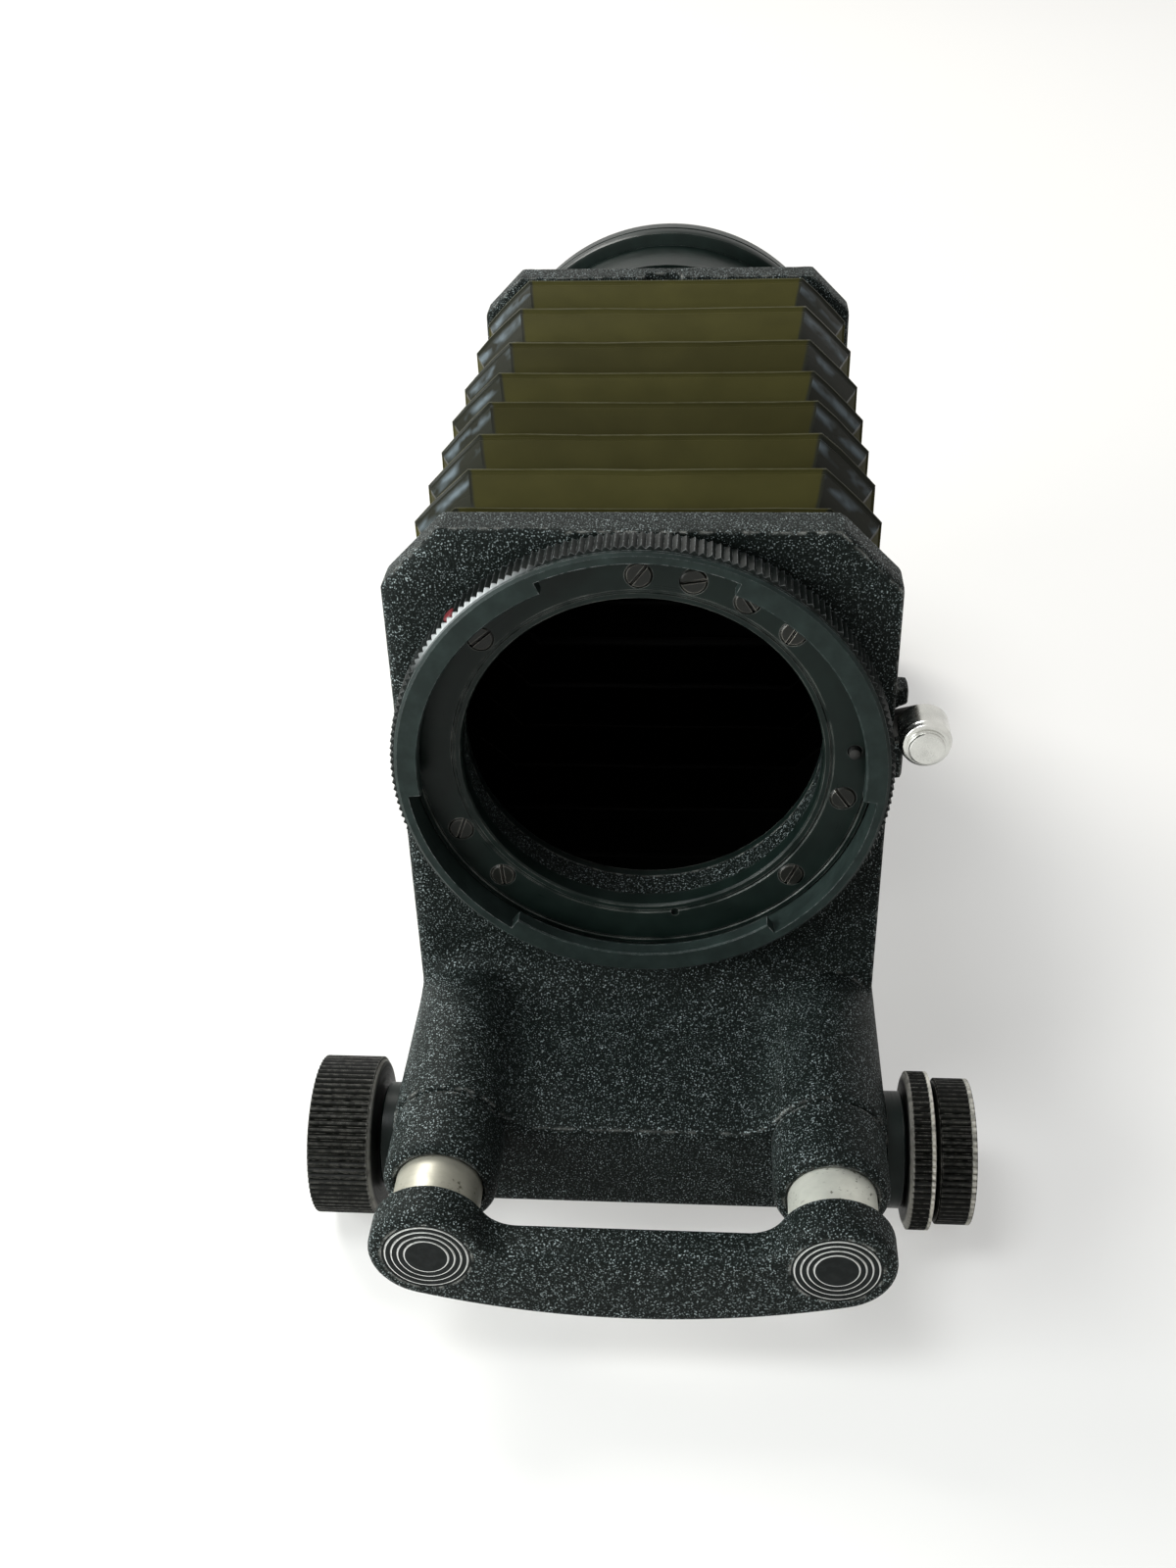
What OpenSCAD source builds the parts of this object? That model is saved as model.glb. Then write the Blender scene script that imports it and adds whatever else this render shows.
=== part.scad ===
// Macro bellows unit: two standards that slide on twin rods, joined by a pleated bellows.
// The origin is where the lens axis crosses the front face of the front plate.
// +X points to the right seen from the lens side, +Y back along the rods to the camera, +Z up.
// The rear standard is the front standard mirrored, apart from its mount and its plate's cuts.

/* [Standards] */
// How far the locking ring stands past a plate's sides
ring_overhang = 0.1; // [0:0.05:0.6]
// How far the locking ring stands past a plate's top edge
ring_over_top = 0.4; // [0:0.05:0.8]
// Size of the cut across a plate's top corners
plate_chamfer = 6.8; // [3:0.2:8]
// Thickness of a plate
plate_t = 5.4; // [5:0.2:8]
// Distance between the two plates, which the bellows spans
bellows_len = 92.2; // [88:0.2:110]
// Step from the lens throat out to the light opening in a plate
light_step = 0.4; // [0.3:0.05:0.6]

/* [Rods] */
// Radius of each chromed rod
rod_r = 5; // [4.6:0.1:5.2]
// Distance of each rod's axis inside a plate's side
rod_inset = 6.5; // [6.2:0.1:7.5]
// Depth of the rods' axes below the hollow's floor
rod_sink = 3.1; // [2.9:0.1:4]
// How far a rod reaches into an end bar
rod_seat = 1.8; // [1.2:0.1:2.2]
// Length of bare rod between a collar and its end bar
rod_show = 5.3; // [5.3:0.1:8]

/* [Carriage] */
// Radius of the bosses that the rods run through
boss_r = 7; // [6.8:0.1:7.2]
// How far the carriage reaches in front of its plate's outer face
carriage_front = 22.8; // [22:0.2:28]
// How far the carriage reaches behind its plate's outer face
carriage_back = 13; // [9:0.5:13.5]
// Height of the carriage's front ridge above the rods' axes
ridge_rise = 0.6; // [0.2:0.1:1]
// Depth of the carriage's underside below the rods' axes
carriage_drop = 11.9; // [11.7:0.1:12.5]
// Radius of the carriage's lower corners
carriage_corner_r = 2.5; // [1:0.1:3]
// Room between the locking ring and the foot of the plate
ring_room = 0.6; // [0.5:0.1:2]
// Radius of the round between the plate and the hollow's floor
hollow_r = 6; // [4:0.1:6]

/* [Collars and bushes] */
// Radius of the collars in front of the bosses
collar_r = 6.6; // [6.3:0.05:6.75]
// Length of a collar
collar_len = 9; // [6:0.2:12]
// Outer radius of the bushes inside the bosses
bush_r = 5.9; // [5.6:0.05:6.1]
// Length of the collar's spigot inside its boss
spigot_len = 1.4; // [0.8:0.1:1.6]
// Length of the bush at the other end of a boss
bush_len = 8; // [5:0.5:10]
// Size of the bevel round a collar's rim
collar_bevel = 0.8; // [0.3:0.1:1.2]

/* [End bars] */
// Thickness of an end bar
bar_t = 4.8; // [4.4:0.1:7]
// Radius of an end bar's round ends
bar_end_r = 6.6; // [6.2:0.05:6.8]
// Height of the bar's waist above the rods' axes
bar_waist_rise = 0.7; // [0:0.1:1.5]
// Depth of the bar's lowest point below the rods' axes
bar_belly_drop = 9.6; // [8.5:0.1:11]
// Radius of the bar's curved lower edge
bar_belly_r = 68.4; // [60:0.2:90]
// Radius of the fillets between waist and round ends
bar_fillet_r = 4; // [3:0.1:5]
// Radius of the caps over the rods' screws
cap_r = 4.9; // [4.5:0.05:5.2]
// Thickness of a cap
cap_t = 0.9; // [0.8:0.05:1.1]
// Number of engraved rings on a cap
cap_rings = 4; // [2:1:5]

/* [Drive] */
// Distance of the pinion shaft in front of the plate's outer face
shaft_y = 16.7; // [15.5:0.1:18]
// Tooth module of rack and pinion
gear_module = 0.5; // [0.5:0.01:0.52]
// Number of teeth on the pinion
pinion_teeth = 12; // [12:1:12]
// Length of the pinion's teeth along its shaft
pinion_w = 4; // [3:0.2:4.6]
// Radius of the pinion shaft
shaft_r = 1.8; // [1.6:0.05:1.85]
// Length of rack beyond the pinion's travel, at each end
rack_spare = 7; // [5:0.5:8]
// Depth of the rack's flat below the rod's axis
rack_flat_drop = 4.7; // [4.5:0.05:4.9]
// Length of a shaft bush inside the casting
shaft_bush_len = 3.2; // [2.6:0.1:3.3]

/* [Knobs] */
// Radius of the wide focusing knob
knob_r = 9.6; // [9:0.1:9.8]
// Width of the wide focusing knob
knob_w = 7.7; // [6:0.1:10]
// Gap between casting and wide knob, filled by the bush's neck
knob_neck_len = 2.1; // [1.8:0.1:7]
// Radius of the bush's neck behind the wide knob
knob_neck_r = 6.5; // [5:0.1:7]
// Radius of the narrow focusing knob
small_knob_r = 8.7; // [8:0.1:9.4]
// Width of the narrow focusing knob
small_knob_w = 4.6; // [4:0.1:8]
// Radius of the lock ring
lock_r = 9.45; // [8.6:0.05:9.8]
// Width of the lock ring
lock_w = 3.1; // [2.2:0.1:4]
// Radius of the threaded boss that carries the lock ring
lock_boss_r = 5; // [4:0.1:5.5]
// Length of the flange between casting and lock ring
lock_flange_len = 2.3; // [1.5:0.1:3]
// Radius of that flange
lock_flange_r = 7; // [6:0.1:7.2]
// Depth of the knobs' knurl
knurl_depth = 0.4; // [0.2:0.05:0.5]
// Width of the smooth edge beside a knurl
knurl_edge = 0.5; // [0.3:0.05:0.8]
// Spacing of the knurl ridges round a knob
knurl_pitch = 0.84; // [0.8:0.02:1.2]

/* [Lens mount] */
// Radius of the throat that takes the lens's barrel
throat_r = 21; // [20.6:0.05:21.1]
// Width of the fixed flange that the lens seats on
flange_w = 6; // [5.8:0.05:6.3]
// How far the knurled locking ring reaches past the flange
ring_wall = 1.9; // [1.7:0.05:2.2]
// How far the ring stands in front of the plate
ring_t = 5; // [4.6:0.1:7]
// How far the ring's three lugs reach in over the flange
lug_reach = 1.4; // [1:0.05:1.6]
// Thickness of the lugs
lug_t = 1.8; // [1.2:0.1:2.2]
// Angle of each recess between two lugs
recess_angle = 48; // [40:1:54]
// Number of knurl ridges round the ring
ring_ridges = 192; // [150:2:200]
// Angle of the red index dot, from the right-hand side
dot_angle = 136; // [120:1:150]
// How far the flange stands in front of the plate
flange_rise = 1.2; // [1.1:0.05:1.4]
// Thickness of the flange's rim, behind which the ring is held
flange_rim_t = 0.5; // [0.3:0.05:0.6]
// How deep the flange seats in the plate
flange_seat = 1.3; // [1:0.05:1.35]
// Distance of the flange's screws inside its rim
screw_inset = 3.1; // [2.9:0.05:3.6]
// Radius of a flange screw's head
screw_head_r = 1.5; // [1.2:0.05:1.6]
// Radius of a flange screw's shank
screw_shank_r = 0.8; // [0.6:0.05:0.9]
// Length of a flange screw
flange_screw_len = 5; // [4:0.1:5.2]

/* [Lens release] */
// Room between the locking ring and the release button
button_room = 0.2; // [0.2:0.1:1]
// Height of the release button above the lens axis
button_z = 4; // [3:0.1:5]
// Radius of the button's flange
button_r = 2.9; // [2.5:0.05:3]
// Radius of the button's front face
button_face_r = 2; // [1.5:0.05:2.2]
// How far the button stands in front of the plate
button_out = 4.4; // [4:0.1:5]
// How far the button travels when pressed
button_travel = 1.4; // [1:0.1:1.5]
// Distance of the lens's lock pin inside the flange's rim
pin_inset = 2.5; // [2.4:0.05:2.8]
// Angle of the lock pin above the horizontal
pin_angle = 4; // [2:0.5:6]
// Radius of the lock pin
pin_r = 0.7; // [0.5:0.05:0.8]
// Thickness of the arm that joins button and pin
arm_t = 1.6; // [1.2:0.05:1.7]

/* [Camera mount] */
// Wall of the camera-side ring outside the spigot's seat
camera_ring_wall = 2.6; // [2:0.05:2.9]
// Width of the camera-side ring
camera_ring_w = 6; // [5:0.2:8]
// Wall of the neck between rear plate and ring
neck_wall = 5.6; // [4.8:0.1:6]
// Length of the neck
neck_len = 11; // [8:0.5:14]
// Wall of the spigot that enters the camera
spigot_wall = 3.3; // [2.8:0.05:3.5]
// How far the spigot's three tabs stand out of it
tab_reach = 1.3; // [0.9:0.05:1.6]
// Width of the spigot's seat round its tube
seat_w = 2.2; // [2:0.05:2.5]
// How far the spigot stands out of its ring
spigot_out = 4.8; // [4.4:0.1:6]

/* [Bellows] */
// Room round the light opening inside the bellows' valleys
valley_room = 3.5; // [3.4:0.05:3.8]
// Depth of the pleats
pleat_depth = 2.9; // [2:0.1:3.1]
// Size of the cut across a crest's corners
crest_chamfer = 6.8; // [5:0.1:8]
// Size of the cut across a valley's corners
valley_chamfer = 5; // [4:0.1:6]
// Thickness of the bellows' cloth
cloth_t = 0.6; // [0.4:0.05:0.7]
// Distance from the front plate to the first crest
first_crest = 3.8; // [3:0.1:5]
// Distance from the last crest to the rear plate
last_crest = 3.7; // [3:0.1:5]
// How much each spacing grows over the one before
crest_growth = 0.6; // [0.3:0.05:0.7]
// Number of pleats in each half
half_pleats = 4; // [3:1:4]

/* [Tripod block] */
// Length of the block along the rods
block_len = 22; // [16:1:22]
// Gap left between a carriage and the block at the end of its travel
stop_gap = 1.5; // [0.5:0.1:2.5]
// Radius of the block's sleeves round the rods
sleeve_r = 6.8; // [6.4:0.1:7.2]
// Height of the block's foot below the rods' axes
foot_drop = 17.9; // [17.4:0.1:20]
// Width of the foot
foot_w = 30; // [24:1:36]
// Height of the foot pad
foot_t = 6; // [4:0.5:8]
// Radius of the tripod screw's hole
tripod_r = 3.175; // [3:0.025:3.3]
// Outer radius of the tripod bush
tripod_bush_r = 5; // [4.5:0.1:6]
// Depth of the tripod hole
tripod_depth = 7; // [5:0.5:9]

/* [Fits] */
// Running clearance of the rods in their bushes
rod_play = 0.05; // [0.03:0.01:0.08]
// Running clearance of shafts and rings
shaft_play = 0.05; // [0.03:0.01:0.08]
// Clearance between pieces that are fixed in one another
seat_play = 0.02; // [0.01:0.01:0.04]
// Clearance beside pieces that move past others
side_play = 0.25; // [0.2:0.01:0.3]

/* [Hidden] */
$fn = 96;

over = 1;
flange_r = throat_r + flange_w;
ring_r = flange_r + ring_wall;
light_r = throat_r + light_step;
plate_half = ring_r - ring_overhang;
plate_top = ring_r - ring_over_top;
hollow_drop = ring_r + ring_room + hollow_r;
rod_drop = hollow_drop + rod_sink;
rod_x = plate_half - rod_inset;
mid_y = plate_t + bellows_len / 2;
rear_face_y = 2 * mid_y;
rear_plate_y = plate_t + bellows_len;
rod_z = -rod_drop;
collar_front_y = -carriage_front - collar_len;
bar_back_y = collar_front_y - rod_show;
bar_front_y = bar_back_y - bar_t;
rod_end_y = bar_back_y - rod_seat;
side_x = rod_x + boss_r;
under_z = rod_z - carriage_drop;

// Rack and pinion: tooth heights and widths follow the module
pinion_r = gear_module * pinion_teeth / 2;
pitch = PI * gear_module;
rack_tip_z = rod_z - rack_flat_drop;
rack_pitch_z = rack_tip_z + gear_module;
shaft_z = rack_pitch_z - pinion_r;
rack_root_z = rack_pitch_z + 1.3 * gear_module;
space_tip_w = 2.6 * gear_module;
space_root_w = 1.1 * gear_module;
tooth_tip_r = pinion_r + gear_module;
tooth_root_r = pinion_r - 1.4 * gear_module;
tooth_root_w = 1.9 * gear_module;
tooth_mid_w = 1.2 * gear_module;
tooth_tip_w = 0.48 * gear_module;

shaft_bush_r = tooth_tip_r + 0.2;

// Travel of a standard from rest, away from the block and toward it
travel_out = rod_show - 0.3;
travel_in = mid_y - block_len / 2 - carriage_back - stop_gap;

// Places along the pinion shaft
neck_end_x = side_x + knob_neck_len;
knob_in_x = neck_end_x + 2 * side_play;
knob_out_x = knob_in_x + knob_w;
lock_in_x = side_x + lock_flange_len + side_play;
lock_out_x = lock_in_x + lock_w;
small_in_x = lock_out_x + side_play;
small_out_x = small_in_x + small_knob_w;
knob_cover = 0.6;

// Lens mount
lug_r = flange_r - lug_reach;
lip_r = flange_r - 0.7;
ring_back_y = -0.1;
groove_r = flange_r + 0.1;
screw_circle_r = flange_r - screw_inset;
flange_screw_t = 0.8;
screw_angles = [90, 75.6, 60.3, 44.9, 138, 204.5, 224.3, 348.6, 318.3];
slot_angles = [52, 8, 122, 60, 40, 70, 95, 125, 65];
recess_angles = [90, 210, 330];
pin_circle_r = flange_r - pin_inset;
pin_x = pin_circle_r * cos(pin_angle);
pin_z = pin_circle_r * sin(pin_angle);
button_x = ring_r + button_room + button_r;
button_stem_r = 1.2;
button_back_y = -1;
arm_front_y = flange_seat + 0.7;
arm_end_r = 2.2;
arm_pin_r = 1.6;

// Side lug that the button's stem passes: the button stops in front of it
side_lug_y = button_back_y + button_travel + 0.6;
side_lug_x = button_x - button_stem_r - 0.3;
side_lug_low = button_z - 8.5;
side_lug_high = button_z + 4;

// Camera mount
neck_r = light_r + neck_wall;
spigot_r = throat_r + spigot_wall;
tab_r = spigot_r + tab_reach;
spigot_seat_r = spigot_r + seat_w;
camera_ring_r = spigot_seat_r + camera_ring_wall;

// Bellows: crests lie a little further apart toward the rear
valley_half = light_r + valley_room;
crest_half = valley_half + pleat_depth;
last_i = 2 * half_pleats - 1;
crest_step = (bellows_len - first_crest - last_crest - crest_growth * last_i * last_i / 2) / last_i;
crest_y = [for (i = [0 : last_i])
    plate_t + first_crest + crest_step * i + crest_growth * i * i / 2];
bellows_mid_y = (crest_y[half_pleats - 1] + crest_y[half_pleats]) / 2;
frame_half = valley_half - cloth_t - 0.3;
frame_t = 1.2;
frame_screw_r = 0.8;
frame_head_r = 1.4;
frame_head_t = 0.7;
frame_screw_len = 4.6;
frame_screw_at = (light_r + frame_head_r + 3.2) / sqrt(2);

// Extrudes a flat XZ outline from y0 back to y1
module y_prism(y0, y1) {
    translate([0, y1, 0])
        rotate([90, 0, 0])
            linear_extrude(height = y1 - y0)
                children();
}

// Turns a profile of [radius, y] points about the lens axis
module y_turned(points) {
    rotate([-90, 0, 0])
        rotate_extrude()
            polygon([for (p = points) [p[0], p[1]]]);
}

// Turns a profile of [radius, x] points about the X axis
module x_turned(points) {
    rotate([0, 90, 0])
        rotate_extrude()
            polygon(points);
}

// Round bar along Y at [x, z]
module y_bar(r, x, z, y0, y1) {
    translate([x, y0, z])
        rotate([-90, 0, 0])
            cylinder(r = r, h = y1 - y0);
}

// Round bar along X at [y, z]
module x_bar(r, y, z, x0, x1) {
    translate([x0, y, z])
        rotate([0, 90, 0])
            cylinder(r = r, h = x1 - x0);
}

// Puts a piece of the front standard in its mirrored place at the rear
module at_rear() {
    translate([0, rear_face_y, 0])
        mirror([0, 1, 0])
            children();
}

// Does the same thing at both rods
module at_rods() {
    for (side = [-1, 1])
        translate([side * rod_x, 0, rod_z])
            children();
}

// Step from the knurl's valleys down to the smooth edge beside it
knurl_step = 0.06;

// Star outline of straight knurling
module knurl_outline(r, ridges, depth) {
    polygon([for (i = [0 : 2 * ridges - 1])
        let(a = 180 * i / ridges, rr = i % 2 == 0 ? r : r - depth)
        [rr * cos(a), rr * sin(a)]]);
}

// Straight-knurled disc along X, with a smooth edge on both sides
module knurled_disc(r, x0, x1) {
    ridges = round(2 * PI * r / knurl_pitch);
    translate([x0, 0, 0])
        rotate([0, 90, 0])
            cylinder(r = r - knurl_depth - knurl_step, h = x1 - x0);
    translate([x0 + knurl_edge, 0, 0])
        rotate([0, 90, 0])
            linear_extrude(height = x1 - x0 - 2 * knurl_edge)
                knurl_outline(r, ridges, knurl_depth);
}

// Slotted countersunk screw along +Y, its head's face at y = 0
module slotted_screw(head_r, shank_r, head_t, len, turn) {
    slot_w = head_r * 0.3;
    slot_t = head_t * 0.5;
    difference() {
        union() {
            y_bar(head_r, 0, 0, 0, head_t);
            y_bar(shank_r, 0, 0, head_t - 0.1, len);
        }
        rotate([0, turn, 0])
            translate([-head_r - over, -over, -slot_w / 2])
                cube([2 * (head_r + over), slot_t + over, slot_w]);
    }
}

// Octagonal-topped outline of a plate, down to the rods' axes
module plate_outline() {
    flat = plate_half - plate_chamfer;
    shoulder_z = plate_top - plate_chamfer;
    polygon([
        [-plate_half, rod_z], [-plate_half, shoulder_z], [-flat, plate_top],
        [flat, plate_top], [plate_half, shoulder_z], [plate_half, rod_z]
    ]);
}

// Section of the carriage: two bosses over a block with round lower corners
module carriage_outline() {
    at_corner = side_x - carriage_corner_r;
    for (side = [-1, 1]) {
        translate([side * rod_x, rod_z])
            circle(r = boss_r);
        translate([side * at_corner, under_z + carriage_corner_r])
            circle(r = carriage_corner_r);
    }
    translate([-at_corner, under_z])
        square([2 * at_corner, carriage_drop]);
    translate([-side_x, under_z + carriage_corner_r])
        square([2 * side_x, carriage_drop - carriage_corner_r]);
}

// Side profile, in [y, z], of the hollow's floor between plate and front ridge
module hollow_floor() {
    floor_z = -hollow_drop;
    difference() {
        polygon([
            [-carriage_front, rod_z - over], [-carriage_front, rod_z + ridge_rise],
            [-hollow_r, floor_z], [-hollow_r, floor_z + hollow_r],
            [plate_t, floor_z + hollow_r], [plate_t, rod_z - over]
        ]);
        translate([-hollow_r, floor_z + hollow_r])
            circle(r = hollow_r);
    }
}

// Plate and carriage as one casting, bored for rods, bushes and shaft
module casting_core() {
    difference() {
        union() {
            y_prism(0, plate_t)
                plate_outline();
            y_prism(-carriage_front, carriage_back)
                carriage_outline();
            translate([-rod_x, 0, 0])
                rotate([90, 0, 90])
                    linear_extrude(height = 2 * rod_x)
                        hollow_floor();
        }
        y_bar(light_r, 0, 0, -over, plate_t + over);
        at_rods()
            y_bar(bush_r + seat_play, 0, 0, -carriage_front - over, carriage_back + over);
        translate([0, -shaft_y, shaft_z]) {
            x_bar(shaft_bush_r + seat_play, 0, 0, -side_x - over, -rod_x + pinion_w / 2 + 1);
            x_bar(shaft_r + side_play, 0, 0, -side_x, side_x);
            x_bar(shaft_bush_r + seat_play, 0, 0, side_x - shaft_bush_len, side_x + over);
        }
        for (sx = [-1, 1], sz = [-1, 1])
            y_bar(frame_screw_r, sx * frame_screw_at, sz * frame_screw_at,
                plate_t + frame_t + frame_head_t - frame_screw_len - 0.5, plate_t + over);
    }
}

// Outline of the arm between lock pin and button, grown by a clearance
module arm_outline(grow) {
    across = [button_x - pin_x, button_z - pin_z];
    len = norm(across);
    normal = [-across[1], across[0]] / len;
    pin_edge = normal * (arm_pin_r + grow);
    button_edge = normal * (arm_end_r + grow);
    translate([pin_x, pin_z])
        circle(r = arm_pin_r + grow);
    translate([button_x, button_z])
        circle(r = arm_end_r + grow);
    polygon([
        [pin_x, pin_z] + pin_edge, [pin_x, pin_z] - pin_edge,
        [button_x, button_z] - button_edge, [button_x, button_z] + button_edge
    ]);
}

module front_casting() {
    color("#1d1e20")
        difference() {
            union() {
                casting_core();
                translate([plate_half - over, side_lug_y, side_lug_low])
                    cube([side_lug_x - plate_half + over, plate_t - side_lug_y,
                        side_lug_high - side_lug_low]);
            }
            y_bar(lip_r + seat_play, 0, 0, -over, flange_seat);
            for (a = screw_angles)
                y_bar(screw_shank_r, screw_circle_r * cos(a), screw_circle_r * sin(a),
                    0, flange_screw_len - flange_rise + 0.5);
            y_bar(pin_r + 0.2, pin_x, pin_z, -over, plate_t);
            y_prism(arm_front_y - side_play, plate_t + over)
                arm_outline(side_play);
        }
}

// The rear plate has holes for the neck's screws and a small cut in its top edge
module rear_casting() {
    color("#1d1e20")
        at_rear()
            difference() {
                casting_core();
                for (a = neck_screw_angles) {
                    y_bar(neck_screw_r, neck_circle_r * cos(a), neck_circle_r * sin(a), -over, plate_t);
                    y_bar(neck_head_r + 0.1, neck_circle_r * cos(a), neck_circle_r * sin(a),
                        plate_t - neck_head_t, plate_t + over);
                }
                translate([-notch_w / 2 + 0.4, plate_t - notch_deep, plate_top - notch_high])
                    cube([notch_w, notch_deep + over, notch_high + over]);
            }
}
neck_screw_angles = [0, 90, 180, 270];
neck_circle_r = (light_r + neck_r) / 2;
neck_screw_r = 1;
neck_head_r = 1.7;
neck_head_t = 1.1;
neck_screw_len = 8.9;
notch_w = 6;
notch_deep = 1.6;
notch_high = 1.2;

module collars() {
    bore = rod_r + rod_play;
    color("#1f2022")
        at_rods()
            y_turned([
                [bore, collar_front_y], [collar_r - collar_bevel, collar_front_y],
                [collar_r, collar_front_y + collar_bevel], [collar_r, -carriage_front],
                [bush_r, -carriage_front], [bush_r, spigot_len - carriage_front],
                [bore, spigot_len - carriage_front]
            ]);
}

module front_collars() { collars(); }
module rear_collars() { at_rear() collars(); }

module guide_bushes() {
    color("#b08d4c")
        at_rods()
            y_turned([
                [rod_r + rod_play, carriage_back - bush_len], [bush_r, carriage_back - bush_len],
                [bush_r, carriage_back], [rod_r + rod_play, carriage_back]
            ]);
}

module front_guide_bushes() { guide_bushes(); }
module rear_guide_bushes() { at_rear() guide_bushes(); }

// Bush at the wide knob's side, with the neck that spaces the knob off the casting
module shaft_bush() {
    bore = shaft_r + shaft_play;
    color("#2a2a2c")
        translate([0, -shaft_y, shaft_z])
            mirror([1, 0, 0])
                x_turned([
                    [bore, side_x - shaft_bush_len], [shaft_bush_r, side_x - shaft_bush_len],
                    [shaft_bush_r, side_x + seat_play], [knob_neck_r, side_x + seat_play],
                    [knob_neck_r, neck_end_x], [bore, neck_end_x]
                ]);
}

module front_shaft_bush() { shaft_bush(); }
module rear_shaft_bush() { at_rear() shaft_bush(); }

// Bush at the narrow knob's side; its threaded end carries the clamp ring
module lock_boss() {
    bore = shaft_r + shaft_play;
    color("#3a3a3c")
        translate([0, -shaft_y, shaft_z])
            x_turned([
                [bore, side_x - shaft_bush_len], [shaft_bush_r, side_x - shaft_bush_len],
                [shaft_bush_r, side_x + seat_play], [lock_flange_r, side_x + seat_play],
                [lock_flange_r, side_x + lock_flange_len], [lock_boss_r, side_x + lock_flange_len],
                [lock_boss_r, lock_out_x], [bore, lock_out_x]
            ]);
}

module front_lock_boss() { lock_boss(); }
module rear_lock_boss() { at_rear() lock_boss(); }

// Knurled ring that clamps the standard to the rods
module clamp_ring() {
    color("#4a4744")
        translate([0, -shaft_y, shaft_z])
            difference() {
                knurled_disc(lock_r, lock_in_x, lock_out_x);
                x_bar(lock_boss_r + shaft_play, 0, 0, lock_in_x - over, lock_out_x + over);
            }
}

module front_clamp_ring() { clamp_ring(); }
module rear_clamp_ring() { at_rear() clamp_ring(); }

// Outline of the pinion's teeth in the shaft's cross-section
module pinion_outline() {
    circle(r = tooth_root_r);
    for (i = [0 : pinion_teeth - 1])
        rotate(360 * i / pinion_teeth)
            polygon([
                [0, -tooth_root_w / 2], [tooth_root_r, -tooth_root_w / 2],
                [pinion_r, -tooth_mid_w / 2], [tooth_tip_r, -tooth_tip_w / 2],
                [tooth_tip_r, tooth_tip_w / 2], [pinion_r, tooth_mid_w / 2],
                [tooth_root_r, tooth_root_w / 2], [0, tooth_root_w / 2]
            ]);
}

module pinion_shaft() {
    color("#b9b9b6")
        translate([0, -shaft_y, shaft_z])
            union() {
                x_bar(shaft_r, 0, 0, -knob_out_x + knob_cover, small_out_x - knob_cover);
                translate([-rod_x - pinion_w / 2, 0, 0])
                    rotate([0, 90, 0])
                        linear_extrude(height = pinion_w)
                            pinion_outline();
            }
}

module front_pinion_shaft() { pinion_shaft(); }
module rear_pinion_shaft() { at_rear() pinion_shaft(); }

grub_r = 1.2;
grub_len = 3;

// Wide knurled focusing knob, blind at its outer face
module knob_wide() {
    color("#232325")
        translate([0, -shaft_y, shaft_z])
            difference() {
                mirror([1, 0, 0])
                    knurled_disc(knob_r, knob_in_x, knob_out_x);
                x_bar(shaft_r + seat_play, 0, 0, -knob_out_x + knob_cover - seat_play, -knob_in_x + over);
                translate([-(knob_in_x + knob_out_x) / 2, 0, 0])
                    rotate([180, 0, 0])
                        cylinder(r = grub_r + seat_play, h = knob_r + over);
            }
}

module front_knob_wide() { knob_wide(); }
module rear_knob_wide() { at_rear() knob_wide(); }

// Narrow knurled focusing knob at the other end of the shaft
module knob_narrow() {
    color("#232325")
        translate([0, -shaft_y, shaft_z])
            difference() {
                knurled_disc(small_knob_r, small_in_x, small_out_x);
                x_bar(shaft_r + seat_play, 0, 0, small_in_x - over, small_out_x - knob_cover + seat_play);
                translate([(small_in_x + small_out_x) / 2, 0, 0])
                    rotate([180, 0, 0])
                        cylinder(r = grub_r + seat_play, h = small_knob_r + over);
            }
}

module front_knob_narrow() { knob_narrow(); }
module rear_knob_narrow() { at_rear() knob_narrow(); }

// One grub screw in each knob, bearing on the shaft
module knob_screws() {
    color("#8c8c8a")
        translate([0, -shaft_y, shaft_z])
            for (x = [-(knob_in_x + knob_out_x) / 2, (small_in_x + small_out_x) / 2])
                translate([x, 0, -shaft_r - seat_play - grub_len])
                    cylinder(r = grub_r, h = grub_len);
}

module front_knob_screws() { knob_screws(); }
module rear_knob_screws() { at_rear() knob_screws(); }

// Rod with round section; the rack is cut in the left one only
module rod() {
    y_bar(rod_r, 0, 0, rod_end_y, rear_face_y - rod_end_y);
}

// Toothed stretch under the left rod, a flat with a tooth space every pitch
module rack_cut() {
    from_pinion = -travel_out - rack_spare;
    to_pinion = travel_in + rack_spare;
    first = ceil((from_pinion + pitch / 2) / pitch);
    last = floor((to_pinion - pitch / 2) / pitch);
    translate([-rod_r - over, from_pinion - shaft_y, rack_tip_z - over - rod_z])
        cube([2 * (rod_r + over), to_pinion - from_pinion, over]);
    for (i = [first : last])
        translate([-rod_r - over, -shaft_y + i * pitch, 0])
            rotate([90, 0, 90])
                linear_extrude(height = 2 * (rod_r + over))
                    polygon([
                        [-space_tip_w / 2, rack_tip_z - rod_z - 0.01],
                        [space_tip_w / 2, rack_tip_z - rod_z - 0.01],
                        [space_root_w / 2, rack_root_z - rod_z],
                        [-space_root_w / 2, rack_root_z - rod_z]
                    ]);
}

module rod_left() {
    color("#c9cac8")
        translate([-rod_x, 0, rod_z])
            difference() {
                rod();
                rack_cut();
                at_rear() rack_cut();
                rod_screw_holes();
            }
}

module rod_right() {
    color("#c9cac8")
        translate([rod_x, 0, rod_z])
            difference() {
                rod();
                rod_screw_holes();
            }
}
rod_screw_r = 1.5;
rod_screw_len = 9;
rod_screw_head_r = 3.4;
rod_screw_head_t = 1.5;

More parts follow.
